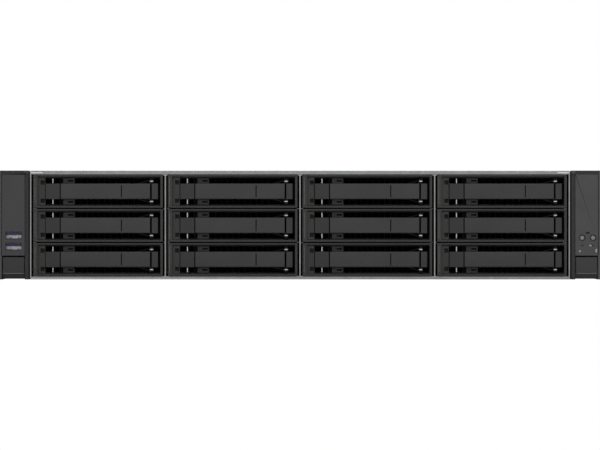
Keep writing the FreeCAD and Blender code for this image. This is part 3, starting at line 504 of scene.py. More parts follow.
def bare_metal(name, colour, roughness, scratch=1.2):
    """Rolled or drawn metal with short random scratches, for springs, screws and socket shells."""
    material, surface, place = new_material(name)
    surface.inputs["Metallic"].default_value = 1.0
    marks = add_noise(material, place, scratch, 5.0, Roughness=0.7)
    vary_tone(material, surface, colour, 0.85, 1.1, marks)
    vary_gloss(material, surface, max(0.05, roughness - 0.08), roughness + 0.1, marks, 0.25, 0.75)
    return material


def clear_plastic(name, colour):
    """Polycarbonate light pipe: clear, slightly frosted, with no lamp lit behind it."""
    material, surface, place = new_material(name)
    surface.inputs["Base Color"].default_value = shade(colour, 1.0)
    surface.inputs["Transmission Weight"].default_value = 0.35
    surface.inputs["IOR"].default_value = 1.585
    vary_gloss(material, surface, 0.25, 0.45, add_noise(material, place, 0.8), 0.0, 1.0)
    return material


def circuit_board(name, colour):
    """Solder mask over copper: darker green lines where the traces run, with a wet gloss."""
    material, surface, place = new_material(name)
    surface.inputs["IOR"].default_value = 1.55
    surface.inputs["Roughness"].default_value = 0.28
    cells = add_node(material, "ShaderNodeTexBrick",
                     {"Scale": per_length(22.0), "Mortar Size": 0.03, "Brick Width": 0.9, "Row Height": 0.12,
                      "Color1": shade(colour, 0.75), "Color2": shade(colour, 1.1),
                      "Mortar": shade(colour, 1.9)}, {"Vector": place})
    feed(material, surface, "Base Color", cells.outputs["Color"])
    add_relief(material, surface, 0.3, 0.03, cells.outputs["Fac"])
    return material


MATERIALS = {}


def finishes():
    """Every finish of the server, made once."""
    if MATERIALS:
        return MATERIALS
    colours = bpy.context.scene.rack_server_colours
    MATERIALS.update({
        "bezel": moulded_plastic("moulded_abs_bezel", colours.bezel, 0.52),
        "lever": moulded_plastic("moulded_abs_lever", colours.lever, 0.50),
        "button": moulded_plastic("moulded_abs_release_button", colours.button, 0.50),
        "left_ear": moulded_plastic("moulded_abs_left_ear", colours.ear, 0.50),
        # Painted light: the right ear is the ear's plastic made 1.4 times lighter, for light that falls more
        # on the right; the left ear keeps the plain colour
        "right_ear": moulded_plastic("moulded_abs_ear_painted_light_right", shade(colours.ear, 1.4), 0.50),
        # Painted shade: the ear's plastic at 0.3 of its brightness, for the frame and the top band that lie
        # in shade
        "ear_frame": moulded_plastic("moulded_abs_ear_frame_painted_shade", shade(colours.ear, 0.3), 0.55),
        # Painted light and shade: one flap plastic in two tones, darker on the left and lighter on the right,
        # for light that falls more on the right
        "flap_left": moulded_plastic("moulded_abs_flap_painted_shade_left", linear("#262826"), 0.50),
        "flap_right": moulded_plastic("moulded_abs_flap_painted_light_right", linear("#303030"), 0.50),
        # Painted highlight: a light grey for the bead along the flaps' finger lips
        "lip": moulded_plastic("moulded_abs_flap_lip_painted_highlight", linear("#707070"), 0.45),
        "latch": moulded_plastic("moulded_pa_supply_latch", linear("#3c6f8a"), 0.45),
        "supply": plated_steel("zinc_plated_supply_shell", linear("#a9abab"), 0.36, "Y"),
        "control": moulded_plastic("moulded_abs_control_button", colours.control, 0.40),
        # Real black plastic of switches, sockets and fan parts; also painted shade on the walls of the ears'
        # groove, windows and seats
        "black": moulded_plastic("glass_filled_pbt_black_and_painted_shade", linear("#161616"), 0.45),
        "tongue": moulded_plastic("moulded_lcp_navy_tongue", linear("#1c1c4a"), 0.35),
        "grey_plastic": moulded_plastic("moulded_abs_grey_latch", linear("#55585a"), 0.45),
        "steel": plated_steel("zinc_plated_sheet", colours.steel, 0.32, "Y"),
        # Painted shade: a darker copy of the plated sheet for its faces that look to the front
        "steel_front_shade": plated_steel("zinc_plated_sheet_painted_shade", linear("#8c8d8c"), 0.38, "Z"),
        # Painted highlight: a much lighter copy of the plated steel, for the tabs at the ends of the cover's
        # bend
        "tab_highlight": plated_steel("zinc_plated_tab_painted_highlight", linear("#e4e4e2"), 0.25, "X"),
        # Painted shade: near black for the flat front face under the cover's bend
        "shaded_edge": moulded_plastic("painted_shade_under_front_bend", linear("#202020"), 0.6),
        # Painted shade: a near-black copy of the plastic with little gloss, for faces deep in the bezel's
        # recess, on the tray behind it and in the lever's groove and fork arms
        "recess": moulded_plastic("moulded_abs_painted_recess_shade", linear("#121212"), 0.75, specular=0.12),
        "cover": plated_steel("zinc_plated_cover", colours.cover, 0.38, "Y"),
        "nickel": bare_metal("nickel_plated_shell", linear("#b9b9bd"), 0.28),
        # Painted shade: a darker copy of the nickel for the sockets' front rims
        "shaded_nickel": bare_metal("nickel_plated_shell_painted_shade", linear("#4c4c52"), 0.35),
        "pipe": clear_plastic("frosted_polycarbonate_pipe", linear("#5a5a52")),
        "lens": clear_plastic("frosted_polycarbonate_lens", linear("#c8c8c4")),
        "board": circuit_board("green_solder_mask", colours.board),
        "aluminium": bare_metal("extruded_aluminium", linear("#c9cbcc"), 0.3, 0.9),
        "coated_casting": moulded_plastic("black_coated_die_casting", linear("#0c0c0d"), 0.70, 0.5, 0.15),
    })
    return MATERIALS


# ---- Carrier fronts -----------------------------------------------------------------

PAST = 1 * MM               # how far a tool or a seated block runs past a face
SEAT = 0.5 * MM             # the same where there is little room
RAIL = 2.1 * MM             # steel rail at each side of a carrier
RAIL_RELIEF = 0.6 * MM      # how much lower a rail is than its bezel
TRAY_FRONT = 1.0 * MM       # cross member between bezel and drive
PIVOT_FROM_END = 1.7 * MM   # lever's hinge end to the axis of its pins
PIVOT_BACK = 2 * MM         # that axis behind the bezel's face
PIN_RADIUS = 0.9 * MM
HANDLE_END_GAP = 1.3 * MM   # lever handle to that axis
PAD_WIDTH = 6.0 * MM        # plate beside the left upright
PAD_WINDOW = 3.4 * MM       # square holes in it
PIPE_LEFT = 0.8 * MM        # slot for the light pipe in the left upright
PIPE_RIGHT = 2.1 * MM
STEM = 2.5 * MM             # half the side of a release button's stem
DRIVE_LENGTH = 146.9 * MM
DRIVE_HEIGHT = 26.1 * MM


class FirstBay:
    """Lines that the bezel, the lever and the button of the first bay share."""

    def __init__(self, sizes):
        low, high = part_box("drive_carrier_01")
        self.low = Vector((low.x + sizes.bezel_inset, low.y, low.z))
        self.high = Vector((high.x - sizes.bezel_inset, low.y + sizes.bezel_depth, high.z))
        self.front = self.low.y
        self.back = self.low.y + sizes.recess
        self.left = self.low.x + sizes.stile_left
        self.right = self.high.x - sizes.stile_right
        self.bottom = self.low.z + sizes.bar
        self.top = self.high.z - sizes.bar
        self.lever_low, self.lever_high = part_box("carrier_lever_01")
        self.button_low, self.button_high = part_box("release_button_01")
        self.pivot = self.lever_high.x - PIVOT_FROM_END
        self.shoulder = self.lever_low.x + 1.6 * MM
        self.below = (self.bottom, self.button_low.z)
        self.above = (self.button_high.z, self.top)


def sloping_recess(bay):
    """Tool for the lever's recess: its long edges slope in from the face."""
    slope = 3.5 * MM
    flare = 2.9 * MM
    recess = start_block("recess", (bay.left, bay.front + slope, bay.bottom), (bay.right, bay.back, bay.top))
    pick(recess, lambda place, normal: normal.y < -0.9)
    bpy.ops.mesh.extrude_region_move(TRANSFORM_OT_translate={"value": (0, -slope - SEAT, 0)})
    bpy.ops.transform.resize(value=(1, 1, (bay.top - bay.bottom + flare) / (bay.top - bay.bottom)))
    done()
    return recess


def bezel_blocks(bay):
    """What stands in the recess: pad, block at the hinge, rib behind the button, two shoulders."""
    pad_front = bay.front + 2.5 * MM
    tail_front = bay.front + 1.2 * MM
    rib_front = bay.front + 7.0 * MM
    rib_left = bay.button_low.x + 5.6 * MM
    shoulder_front = bay.front + 6.2 * MM
    shoulder_width = 9.2 * MM
    back = bay.back + PAST
    blocks = [
        start_block("pad", (bay.left - PAST, pad_front, bay.bottom - PAST),
                    (bay.left + PAD_WIDTH, back, bay.top + PAST)),
        start_block("tail", (bay.pivot + 0.1 * MM, tail_front, bay.button_low.z),
                    (bay.high.x - 4.0 * MM, back, bay.button_high.z)),
        start_block("rib", (rib_left, rib_front, bay.bottom - PAST), (rib_left + SEAT, back, bay.top + PAST))]
    for z0, z1 in ((bay.bottom - SEAT, bay.button_low.z), (bay.button_high.z, bay.top + SEAT)):
        blocks.append(start_block("shoulder", (bay.shoulder, shoulder_front, z0),
                                  (bay.shoulder + shoulder_width, back, z1)))
    return blocks


def pad_and_slot_windows(bay):
    """Square holes of the pad, and the slot in each shoulder."""
    pad_right = bay.left + PAD_WIDTH
    edge = 0.4 * MM
    tools = []
    for z in (bay.bottom + 1.4 * MM, bay.top - 5.2 * MM):
        tools.append(start_block("window", (pad_right - edge - PAD_WINDOW, bay.front, z),
                                 (pad_right - edge, bay.back - PAST, z + PAD_WINDOW)))
    half_slot = 0.6 * MM
    for z0, z1 in (bay.below, bay.above):
        middle = (z0 + z1) / 2
        tools.append(start_block("slot", (bay.shoulder + 3.8 * MM, bay.front, middle - half_slot),
                                 (bay.shoulder + 8.2 * MM, bay.back + 2 * MM, middle + half_slot)))
    return tools


def air_windows(bay, sizes):
    """Air channels between the fins, and the dark holes beside them."""
    fins_left = bay.lever_low.x + 11.5 * MM
    fins_right = bay.pivot - 13.3 * MM
    count = int((fins_right - fins_left) // sizes.fin_pitch)
    channels = [(fins_left + i * sizes.fin_pitch, fins_left + (i + 1) * sizes.fin_pitch - sizes.fin)
                for i in range(count)]
    margin = 0.3 * MM
    tools = [start_block("channel", (x0, bay.back - PAST, bay.bottom + margin),
                         (x1, bay.high.y + PAST, bay.top - margin)) for x0, x1 in channels]
    edge = 0.4 * MM
    spans = ((bay.button_low.x + 0.3 * MM, bay.button_low.x + 5.2 * MM),
             (bay.button_low.x + 7.6 * MM, bay.button_low.x + 10.6 * MM),
             (channels[-1][1] + 0.6 * MM, bay.pivot - 1.0 * MM),
             (bay.pivot + 1.4 * MM, bay.right - 0.6 * MM))
    for x0, x1 in spans:
        for z0, z1 in ((bay.bottom + edge, bay.button_low.z), (bay.button_high.z, bay.top - edge)):
            tools.append(start_block("dark_hole", (x0, bay.back - SEAT, z0), (x1, bay.high.y - 2 * MM, z1)))
    return tools


def guide_windows(bay):
    """Ways of the button's stem, the hinge pins and the light pipe."""
    stem = (bay.button_low + bay.button_high) / 2
    way = STEM + 0.3 * MM
    tools = [start_block("stem_guide", (stem.x - way, bay.front + 6 * MM, stem.z - way),
                         (stem.x + way, bay.front + 14.5 * MM, stem.z + way))]
    bite = 1.4 * MM
    for z0, z1 in ((bay.bottom - bite, bay.bottom + SEAT), (bay.top - SEAT, bay.top + bite)):
        tools.append(start_rod("pin_socket", (bay.pivot, bay.front + PIVOT_BACK, z0), PIN_RADIUS + 0.06 * MM,
                               z1 - z0, "Z", 20))
    tools.append(start_block("light_slot", (bay.low.x + PIPE_LEFT, bay.front - PAST, bay.bottom),
                             (bay.low.x + PIPE_RIGHT, bay.back + PAST, bay.top)))
    return tools


def build_bezel(sizes):
    """Moulded frame with the lever's recess and all that is moulded in it."""
    bay = FirstBay(sizes)
    body = start_block("bezel_01", bay.low, bay.high)
    cut(body, [sloping_recess(bay)])
    melt(body, bezel_blocks(bay))
    soften(body, sizes.edge)
    return cut(body, pad_and_slot_windows(bay) + air_windows(bay, sizes) + guide_windows(bay))


def build_light_pipe(sizes):
    """Clear strip in the left upright, a hair behind its face."""
    bay = FirstBay(sizes)
    play = 0.02 * MM
    front = bay.front + 0.15 * MM
    pipe = start_block("light_pipe_01", (bay.low.x + PIPE_LEFT + play, front, bay.bottom + play),
                       (bay.low.x + PIPE_RIGHT - play, bay.back + PAST, bay.top - play))
    round_edges(pipe, lambda place, way: near(place.y, front), 0.3 * MM)
    return pipe


def build_tray(sizes):
    """Two steel rails with shallow lanes, and the cross member that joins them at the front."""
    low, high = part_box("drive_carrier_01")
    front = low.y + sizes.bezel_depth
    top = high.z - RAIL_RELIEF
    lane_margin, lane_height, lane_depth, lane_length = 5 * MM, 4 * MM, 0.4 * MM, 52 * MM
    opening = 12.8 * MM
    tray = start_block("carrier_tray_01", (low.x, front, low.z), (high.x, high.y, top))
    tools = [start_block("inside", (low.x + RAIL, front + TRAY_FRONT, low.z - PAST),
                         (high.x - RAIL, high.y + PAST, top + PAST)),
             start_block("window", (low.x + opening, front - PAST, low.z + lane_margin),
                         (high.x - opening, front + 2 * MM, top - lane_margin))]
    for x in (low.x, high.x):
        for z in (low.z + lane_margin, top - lane_margin - lane_height):
            for y in (front + 20 * MM, front + 90 * MM):
                tools.append(start_block("lane", (x - lane_depth, y, z),
                                         (x + lane_depth, y + lane_length, z + lane_height)))
    cut(tray, tools)
    return soften(tray, sizes.fold)


def build_drive(sizes):
    """Disk drive: casting with rounded corners, a pressed lid and its motor ring."""
    low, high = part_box("drive_carrier_01")
    side_gap = 2.12 * MM        # rail and a hair of play
    front_gap = 1.02 * MM       # cross member and a hair of play
    left, right = low.x + side_gap, high.x - side_gap
    front = low.y + sizes.bezel_depth + front_gap
    floor = low.z + 0.15 * MM
    top = floor + DRIVE_HEIGHT
    casting = start_block("drive_01", (left, front, floor), (right, front + DRIVE_LENGTH, top - 1.2 * MM))
    round_edges(casting, lambda place, way: abs(way.z) > 0.01, 3.0 * MM, 4)
    extrude_in(casting, lambda place, normal: normal.z > 0.9, 2.5 * MM, (0, 0, 1.1 * MM))
    extrude_in(casting, lambda place, normal: normal.z > 0.9 and near(place.z, top - 0.1 * MM, 0.3 * MM),
               9.0 * MM, (0, 0, -0.7 * MM))
    motor = Vector(((left + right) / 2, front + 56 * MM, 0))
    melt(casting, [start_rod("ring", (motor.x, motor.y, top - 1.2 * MM), 13 * MM, 1.1 * MM, "Z", 40)])
    cut(casting, [start_rod("dish", (motor.x, motor.y, top - 0.7 * MM), 10 * MM, 2 * MM, "Z", 40)])
    return soften(casting, 0.3 * MM)


class RACKSERVER_OT_bezels(bpy.types.Operator):
    """Models the moulded bezel of every drive carrier"""
    bl_idname = "rack_server.bezels"
    bl_label = "Carrier bezels"

    def execute(self, context):
        sizes = context.scene.rack_server_sizes
        spread(build_bezel(sizes), "bezel_", "bezel", "drive_carrier_", "drive_carrier_")
        # Painted shade: the faces deepest in the recess are painted near black
        dark = FirstBay(sizes).back - 0.6 * MM
        for bay in BAYS:
            paint(bpy.data.objects["bezel_" + bay], finishes()["recess"],
                  lambda place, normal: place.y > dark)
        spread(build_light_pipe(sizes), "light_pipe_", "pipe", "drive_carrier_")
        return {"FINISHED"}


class RACKSERVER_OT_trays(bpy.types.Operator):
    """Models the steel tray and the disk drive of every carrier"""
    bl_idname = "rack_server.trays"
    bl_label = "Carrier trays and drives"

    def execute(self, context):
        sizes = context.scene.rack_server_sizes
        spread(build_tray(sizes), "carrier_tray_", "steel", "drive_carrier_")
        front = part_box("drive_carrier_01")[0].y + sizes.bezel_depth + TRAY_FRONT
        # Painted shade: the front of the tray, behind the bezel, is painted near black
        for bay in BAYS:
            paint(bpy.data.objects["carrier_tray_" + bay], finishes()["recess"],
                  lambda place, normal: place.y < front)
        spread(build_drive(sizes), "drive_", "coated_casting", "drive_carrier_")
        return {"FINISHED"}


# ---- Levers and release buttons -----------------------------------------------------

def lever_fork(bay, side, end, front, top):
    """Arm, link, boss and hinge pin at the top (side 1) or the bottom (side -1) of the handle."""
    middle = (bay.low.z + bay.high.z) / 2
    tip = bay.top - 0.4 * MM
    centre = (bay.pivot, bay.front + PIVOT_BACK)

    def span(low, high):
        return sorted((middle + side * (low - middle), middle + side * (high - middle)))

    z0, z1 = span(top - SEAT, top + 0.25 * MM)
    arm = start_block("arm", (end - 9.5 * MM, front + SEAT, z0), (bay.pivot, front + 2.6 * MM, z1))
    move_picked(arm, lambda place, normal: near(place.x, bay.pivot), (0, 0, side * (tip - top - 1.0 * MM)))
    z0, z1 = span(top - SEAT, top + 1.1 * MM)
    link = start_block("link", (end - 0.6 * MM, front + 0.4 * MM, z0),
                       (bay.pivot + 0.4 * MM, front + 2.8 * MM, z1))
    z0, z1 = span(top + 0.9 * MM, tip)
    boss = start_rod("boss", (*centre, z0), 1.7 * MM, z1 - z0, "Z", 24)
    z0, z1 = span(tip - SEAT, tip + 1.6 * MM)
    pin = start_rod("pin", (*centre, z0), PIN_RADIUS, z1 - z0, "Z", 20)
    return [arm, link, boss, pin]


def build_lever(sizes):
    """Hollow handle with a groove across it, and two thin fork arms that reach the pins."""
    bay = FirstBay(sizes)
    left, front = bay.lever_low.x, bay.button_low.y
    end = bay.pivot - HANDLE_END_GAP
    bottom, top = bay.button_low.z, bay.button_high.z
    wall = 1.6 * MM
    groove_left, groove_right = end - 23.35 * MM, end - 22.45 * MM
    handle = start_block("carrier_lever_01", (left, front, bottom), (end, front + 5 * MM, top))
    round_edges(handle, lambda place, way: near(place.y, front) and near(place.z, top), 0.6 * MM, 2)
    round_edges(handle, lambda place, way: near(place.y, front) and near(place.z, bottom), 1.2 * MM, 2)
    cut(handle, [start_block("hollow", (left + wall, front + wall, bottom + wall),
                             (end - wall, front + 6 * MM, top - wall)),
                 start_block("groove", (groove_left, front - PAST, bottom + wall),
                             (groove_right, front + SEAT, top - 1.4 * MM))])
    melt(handle, [piece for side in (1, -1) for piece in lever_fork(bay, side, end, front, top)])
    return soften(handle, 0.18 * MM)


def build_hinge_rings(sizes):
    """Bright ends of the two hinge pins in their bosses, and the two springs behind the button."""
    bay = FirstBay(sizes)
    half_ring = 0.45 * MM
    half_spring = 0.35 * MM
    pieces = [start_rod("ring", (bay.pivot, bay.front + PIVOT_BACK, bay.low.z + height - half_ring),
                        1.78 * MM, 2 * half_ring, "Z", 24) for height in (21.3 * MM, 5.1 * MM)]
    x = bay.low.x + 15.65 * MM
    for z0, z1 in ((bay.bottom + SEAT, bay.button_low.z - 0.3 * MM),
                   (bay.button_high.z + 0.3 * MM, bay.top - SEAT)):
        pieces.append(start_block("spring", (x - half_spring, bay.front + 3.2 * MM, z0),
                                  (x + half_spring, bay.front + 9.2 * MM, z1)))
    return join("hinge_pins_and_springs", pieces)


def build_release_button(sizes):
    """Flat button with softened edges, and the square stem that guides it."""
    low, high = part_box("release_button_01")
    middle = (low + high) / 2
    cap = start_block("release_button_01", low, (high.x, low.y + 4.2 * MM, high.z))
    round_edges(cap, lambda place, way: near(place.y, low.y), 0.45 * MM, 3)
    melt(cap, [start_block("stem", (middle.x - STEM, low.y + 3.9 * MM, middle.z - STEM),
                           (middle.x + STEM, high.y, middle.z + STEM))])
    return soften(cap, 0.12 * MM)


class RACKSERVER_OT_levers(bpy.types.Operator):
    """Models the ejector lever and the release button of every carrier"""
    bl_idname = "rack_server.levers"
    bl_label = "Levers and release buttons"

    def execute(self, context):
        sizes = context.scene.rack_server_sizes
        spread(build_lever(sizes), "lever_", "lever", "carrier_lever_", "carrier_lever_")
        spread(build_hinge_rings(sizes), "hinge_rings_", "nickel", "drive_carrier_")
        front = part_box("release_button_01")[0].y
        arm_gap = 0.15 * MM
        groove_from_end = 26.0 * MM
        # Painted shade: the fork arms in the vents and the groove across the handle are painted near black
        for bay in BAYS:
            low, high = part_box("release_button_" + bay)
            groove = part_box("carrier_lever_" + bay)[1].x - groove_from_end
            paint(bpy.data.objects["lever_" + bay], finishes()["recess"], lambda place, normal:
                  place.z > high.z + arm_gap or place.z < low.z - arm_gap
                  or (near(place.x, groove, 0.6 * MM) and place.y > front + 0.05 * MM))
        spread(build_release_button(sizes), "release_cap_", "button", "release_button_",
               "release_button_")
        return {"FINISHED"}


# ---- Rack ears ----------------------------------------------------------------------

USB_FROM_SIDE = 11.3 * MM   # socket's middle to the ear's outer side
USB_HEIGHTS = (35.4 * MM, 26.4 * MM)
INDICATOR_HEIGHT = 27.3 * MM
CIRCUIT_FRONT = 15 * MM     # ears' front plane to the circuit board
FLANGE_FRONT = 36 * MM      # and to the rack flange
PANEL_STEP = 0.6 * MM       # step between an ear's panel and its frame


def side_block(name, side, x, y, z):
    """A block on the right-hand side, or its mirror image: pairs of metres."""
    left, right = sorted((side * x[0], side * x[1]))
    return start_block(name, (left, CAD_BOX[0].y + y[0], z[0]), (right, CAD_BOX[0].y + y[1], z[1]))


def around(middle, half):
    """Two ends of a span."""
    return middle - half, middle + half


def side_name(side):
    return "left" if side < 0 else "right"


def ear_places():
    """Inner and outer side of the right ear, and the two sides of its flap."""
    low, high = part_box("right_ear")
    latch_low, latch_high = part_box("right_ear_latch")
    return low.x, high.x, latch_low.x + 1.0 * MM, latch_high.x - 1.0 * MM


def build_ear_housing(sizes, side, windows):
    """Moulded housing: stepped frame, panel with its groove, hollow back, pocket for the flap."""
    wall, outer, left, right = ear_places()
    inner = wall + sizes.ear_gap
    top = CAD_BOX[1].z
    under_top = top - 2.5 * MM
    pocket_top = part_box("right_ear_latch")[1].z + 1.1 * MM
    housing = side_block(side_name(side) + "_ear_housing", side, (inner, outer), (0, sizes.ear_depth),
                         (0, top))
    round_edges(housing, lambda place, way: near(place.y, CAD_BOX[0].y), 0.25 * MM, 3)
    edge = outer - 1.6 * MM
    behind = sizes.ear_depth + PAST
    step = (-PAST, PANEL_STEP)
    tools = [
        side_block("hollow", side, (inner + 2.5 * MM, outer - 2 * MM), (3 * MM, behind),
                   (pocket_top + 2 * MM, under_top)),
        side_block("pocket", side, (left - 0.1 * MM, right + 0.1 * MM), (-PAST, sizes.ear_depth - 2 * MM),
                   (-PAST, pocket_top)),
        side_block("screw_way", side, (left + 2 * MM, right - PAST), (sizes.ear_depth - 3 * MM, behind),
                   (-PAST, 13 * MM)),
        side_block("groove", side, around(edge, 0.4 * MM), step, (pocket_top, top + PAST)),
        side_block("top_step", side, (left, edge), step, (top - 3.2 * MM, top + PAST)),
        side_block("frame_step", side, (inner - PAST, left), (-PAST, 2 * PANEL_STEP), (-PAST, under_top))]
    cut(housing, tools + windows)
    return soften(housing, 0.12 * MM)


def finish_housing(housing, left):
    """Painted shade: the stepped frame and the top band get a much darker copy of the ear's plastic, and the
    faces a little behind the panel's face, in the groove, the windows and the seats, are painted black, all
    for the shade of the panel.
    """
    front = CAD_BOX[0].y
    frame_side = left + 0.2 * MM
    # Painted shade: frame and top band in the darker copy of the ear's plastic
    paint(housing, finishes()["ear_frame"], lambda place, normal:
          (abs(place.x) < frame_side or place.z > CAD_BOX[1].z - 3.3 * MM) and normal.y < -0.5)
    # Painted shade: the walls of the groove, windows and seats, behind the panel's face, are painted black
    paint(housing, finishes()["black"], lambda place, normal:
          front + 0.3 * MM < place.y < front + 3.5 * MM and abs(place.x) > frame_side
          and place.z > 19.5 * MM)


def pan_head_screw(side, wall, height):
    """Pan-head screw with its cross recess, seated on the flange's leg."""
    seat = wall + 1.5 * MM
    outside = seat + 1.4 * MM
    depth = CAD_BOX[0].y + FLANGE_FRONT + 29 * MM
    head = start_rod("screw", (side * seat, depth, height), 3.0 * MM, side * 1.4 * MM, "X", 28)
    round_edges(head, lambda place, way: near(abs(place.x), outside), 0.5 * MM, 2)
    x0, x1 = sorted((side * (outside - 0.7 * MM), side * (outside + PAST)))
    long, short = 1.7 * MM, 0.35 * MM
    return cut(head, [start_block("cross", (x0, depth - a, height - b), (x1, depth + a, height + b))
                      for a, b in ((long, short), (short, long))])


def build_flange(side):
    """Steel rack flange with its hole, its leg along the chassis wall and three pan-head screws."""
    wall, outer = ear_places()[:2]
    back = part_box("right_ear")[1].y - CAD_BOX[0].y
    top = CAD_BOX[1].z
    margin = 5 * MM
    plate = side_block("rack_flange_" + side_name(side), side, (wall, outer),
                       (FLANGE_FRONT, FLANGE_FRONT + 2 * MM), (0, top))
    melt(plate, [side_block("leg", side, (wall, wall + 1.5 * MM), (FLANGE_FRONT + PAST, back),
                            (margin, top - margin))])
    start = (side * (outer - 8.75 * MM), CAD_BOX[0].y + FLANGE_FRONT - PAST, 5.65 * MM)
    cut(plate, [start_rod("hole", start, 3.4 * MM, 4 * MM, "Y", 40)])
    soften(plate, 0.25 * MM)
    screws = [pan_head_screw(side, wall, height) for height in (16 * MM, 44 * MM, 72 * MM)]
    return plate, join("ear_screws_" + side_name(side), screws)


def usb_windows():
    """Cut-outs of the left ear's panel, with 0.2 mm of play round each socket."""
    x = ear_places()[1] - USB_FROM_SIDE
    return [side_block("window", -1, around(x, 6.75 * MM), (-PAST, 4 * MM), around(z, 3.05 * MM))
            for z in USB_HEIGHTS]


def usb_socket(x, z):
    """Shell with rolled edges, and its two contact springs."""
    front = CAD_BOX[0].y
    wall = 0.4 * MM
    half_width, half_height = 6.55 * MM, 2.85 * MM
    shell = side_block("shell", -1, around(x, half_width), (0.8 * MM, 15 * MM), around(z, half_height))
    round_edges(shell, lambda place, way: abs(way.y) > 0.001, 0.5 * MM, 3)
    cut(shell, [side_block("inside", -1, around(x, half_width - wall), (0, 14 * MM),
                           around(z, half_height - wall))])
    springs = []
    for left in (x - 4.2 * MM, x + 2.6 * MM):
        spring = side_block("spring", -1, (left, left + 1.6 * MM), (2.2 * MM, 8 * MM),
                            (z - 2.47 * MM, z - 1.75 * MM))
        move_picked(spring, lambda place, normal:
                    near(place.y, front + 2.2 * MM) and place.z > z - 2 * MM, (0, 0, -0.65 * MM))
        springs.append(spring)
    return [shell] + springs


def build_usb():
    """The left ear's two sockets and their tongues."""
    x = ear_places()[1] - USB_FROM_SIDE
    shells = [piece for z in USB_HEIGHTS for piece in usb_socket(x, z)]
    tongues = [soften(side_block("tongue", -1, around(x, 5.65 * MM), (1.8 * MM, 14 * MM),
                                 (z + 0.3 * MM, z + 2.25 * MM)), 0.2 * MM) for z in USB_HEIGHTS]
    return join("usb_shells", shells), join("usb_tongues", tongues)


def button_middles():
    return [sum(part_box(name), Vector()) / 2 for name in ("power_button", "id_button")]


def indicator_places():
    """Windows of the right ear's status lights, between its two buttons."""
    power, other = button_middles()
    x = (power.x + other.x) / 2
    z = INDICATOR_HEIGHT
    return ((x + 1.2 * MM, x + 3.1 * MM, z - 0.65 * MM, z + 0.65 * MM),
            (x + 6.1 * MM, x + 7.6 * MM, z - 5.6 * MM, z - 2.6 * MM),
            (x - 7.0 * MM, x - 5.6 * MM, z - 5.4 * MM, z - 3.8 * MM))


def control_windows():
    """Seats of the round buttons, pinholes, indicator windows and the dark oval slot."""
    front = CAD_BOX[0].y
    before = front - PAST
    tools = []
    for place in button_middles():
        tools.append(start_rod("hole", (place.x, before, place.z), 2.05 * MM, 5 * MM, "Y", 36))
        tools.append(start_rod("seat", (place.x, before, place.z), 2.7 * MM, 1.6 * MM, "Y", 40))
        tools.append(start_rod("pinhole", (place.x, before, INDICATOR_HEIGHT), 0.6 * MM, 3 * MM, "Y", 20))
    for x0, x1, z0, z1 in indicator_places():
        tools.append(start_block("window", (x0, before, z0), (x1, front + 4 * MM, z1)))
    power, other = button_middles()
    x = (power.x + other.x) / 2
    z = power.z + 3.9 * MM
    half_width, half_height = 1.6 * MM, 0.8 * MM
    tools.append(start_block("slot", (x - half_width, before, z - half_height),
                             (x + half_width, front + 1.5 * MM, z + half_height)))
    return tools


def build_flap(side):
    """Hinged flap: softened face, undercut finger lip, pins at both sides."""
    low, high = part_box("right_ear_latch")
    left, right = low.x + 1.4 * MM, high.x - 1.4 * MM
    front = low.y - CAD_BOX[0].y
    face = low.y
    flap = side_block("latch_flap", side, (left, right), (front, front + 4.5 * MM), (low.z, high.z))
    round_edges(flap, lambda place, way: near(place.y, face) and not near(place.z, low.z), 0.5 * MM, 3)
    lip = side_block("lip", side, (left - PAST, right + PAST), (front - PAST, front + 1.2 * MM),
                     (low.z - PAST, 4.6 * MM))
    move_picked(lip, lambda place, normal: place.z < low.z and place.y > face, (0, 1.0 * MM, 0))
    cut(flap, [lip])
    hinge = (side * low.x, face + 2 * MM, 15.3 * MM)
    melt(flap, [start_rod("pin", hinge, 1.0 * MM, side * (high.x - low.x), "X", 20)])
    return soften(flap, 0.15 * MM)


def build_lip_bead(side):
    """Thin bead along the finger lip of a flap, in a lighter plastic: a painted highlight where the lip's
    edge catches the light.
    """
    low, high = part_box("right_ear_latch")
    front = low.y - CAD_BOX[0].y
    inset = 1.9 * MM
    bead = side_block("lip_highlight_bead", side, (low.x + inset, high.x - inset),
                      (front - 0.25 * MM, front + 0.3 * MM), (4.5 * MM, 5.1 * MM))
    return soften(bead, 0.2 * MM, 3)


def build_push_button(name):
    """Round cap with a collar behind the panel and a stem that reaches its switch."""
    low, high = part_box(name)
    middle = (low + high) / 2
    cap_length = 3.5 * MM
    cap = start_rod(name + "_cap", (middle.x, low.y, middle.z), 1.75 * MM, cap_length, "Y", 40)
    round_edges(cap, lambda place, way: near(place.y, low.y), 0.35 * MM, 3)
    collar = start_rod("collar", (middle.x, low.y + 2.8 * MM, middle.z), 2.55 * MM, 1 * MM, "Y", 40)
    stem = start_rod("stem", (middle.x, low.y + cap_length, middle.z), 1 * MM,
                     high.y - low.y - cap_length, "Y", 24)
    return melt(cap, [collar, stem])


def build_lenses():
    """Light guides of the status lights, from the panel to the circuit board."""
    front = CAD_BOX[0].y
    lenses = [start_block("lens", (x0, front + 0.1 * MM, z0), (x1, front + CIRCUIT_FRONT, z1))
              for x0, x1, z0, z1 in indicator_places()]
    for lens in lenses:
        soften(lens, 0.2 * MM)
    return join("indicator_lenses", lenses)


def build_switches():
    """Push switches on the circuit board behind the two buttons."""
    front = CAD_BOX[0].y
    half = 3 * MM
    bodies = [soften(start_block("switch", (place.x - half, front + 10.3 * MM, place.z - half),
                                 (place.x + half, front + CIRCUIT_FRONT, place.z + half)), 0.4 * MM)
              for place in button_middles()]
    return join("panel_switches", bodies)


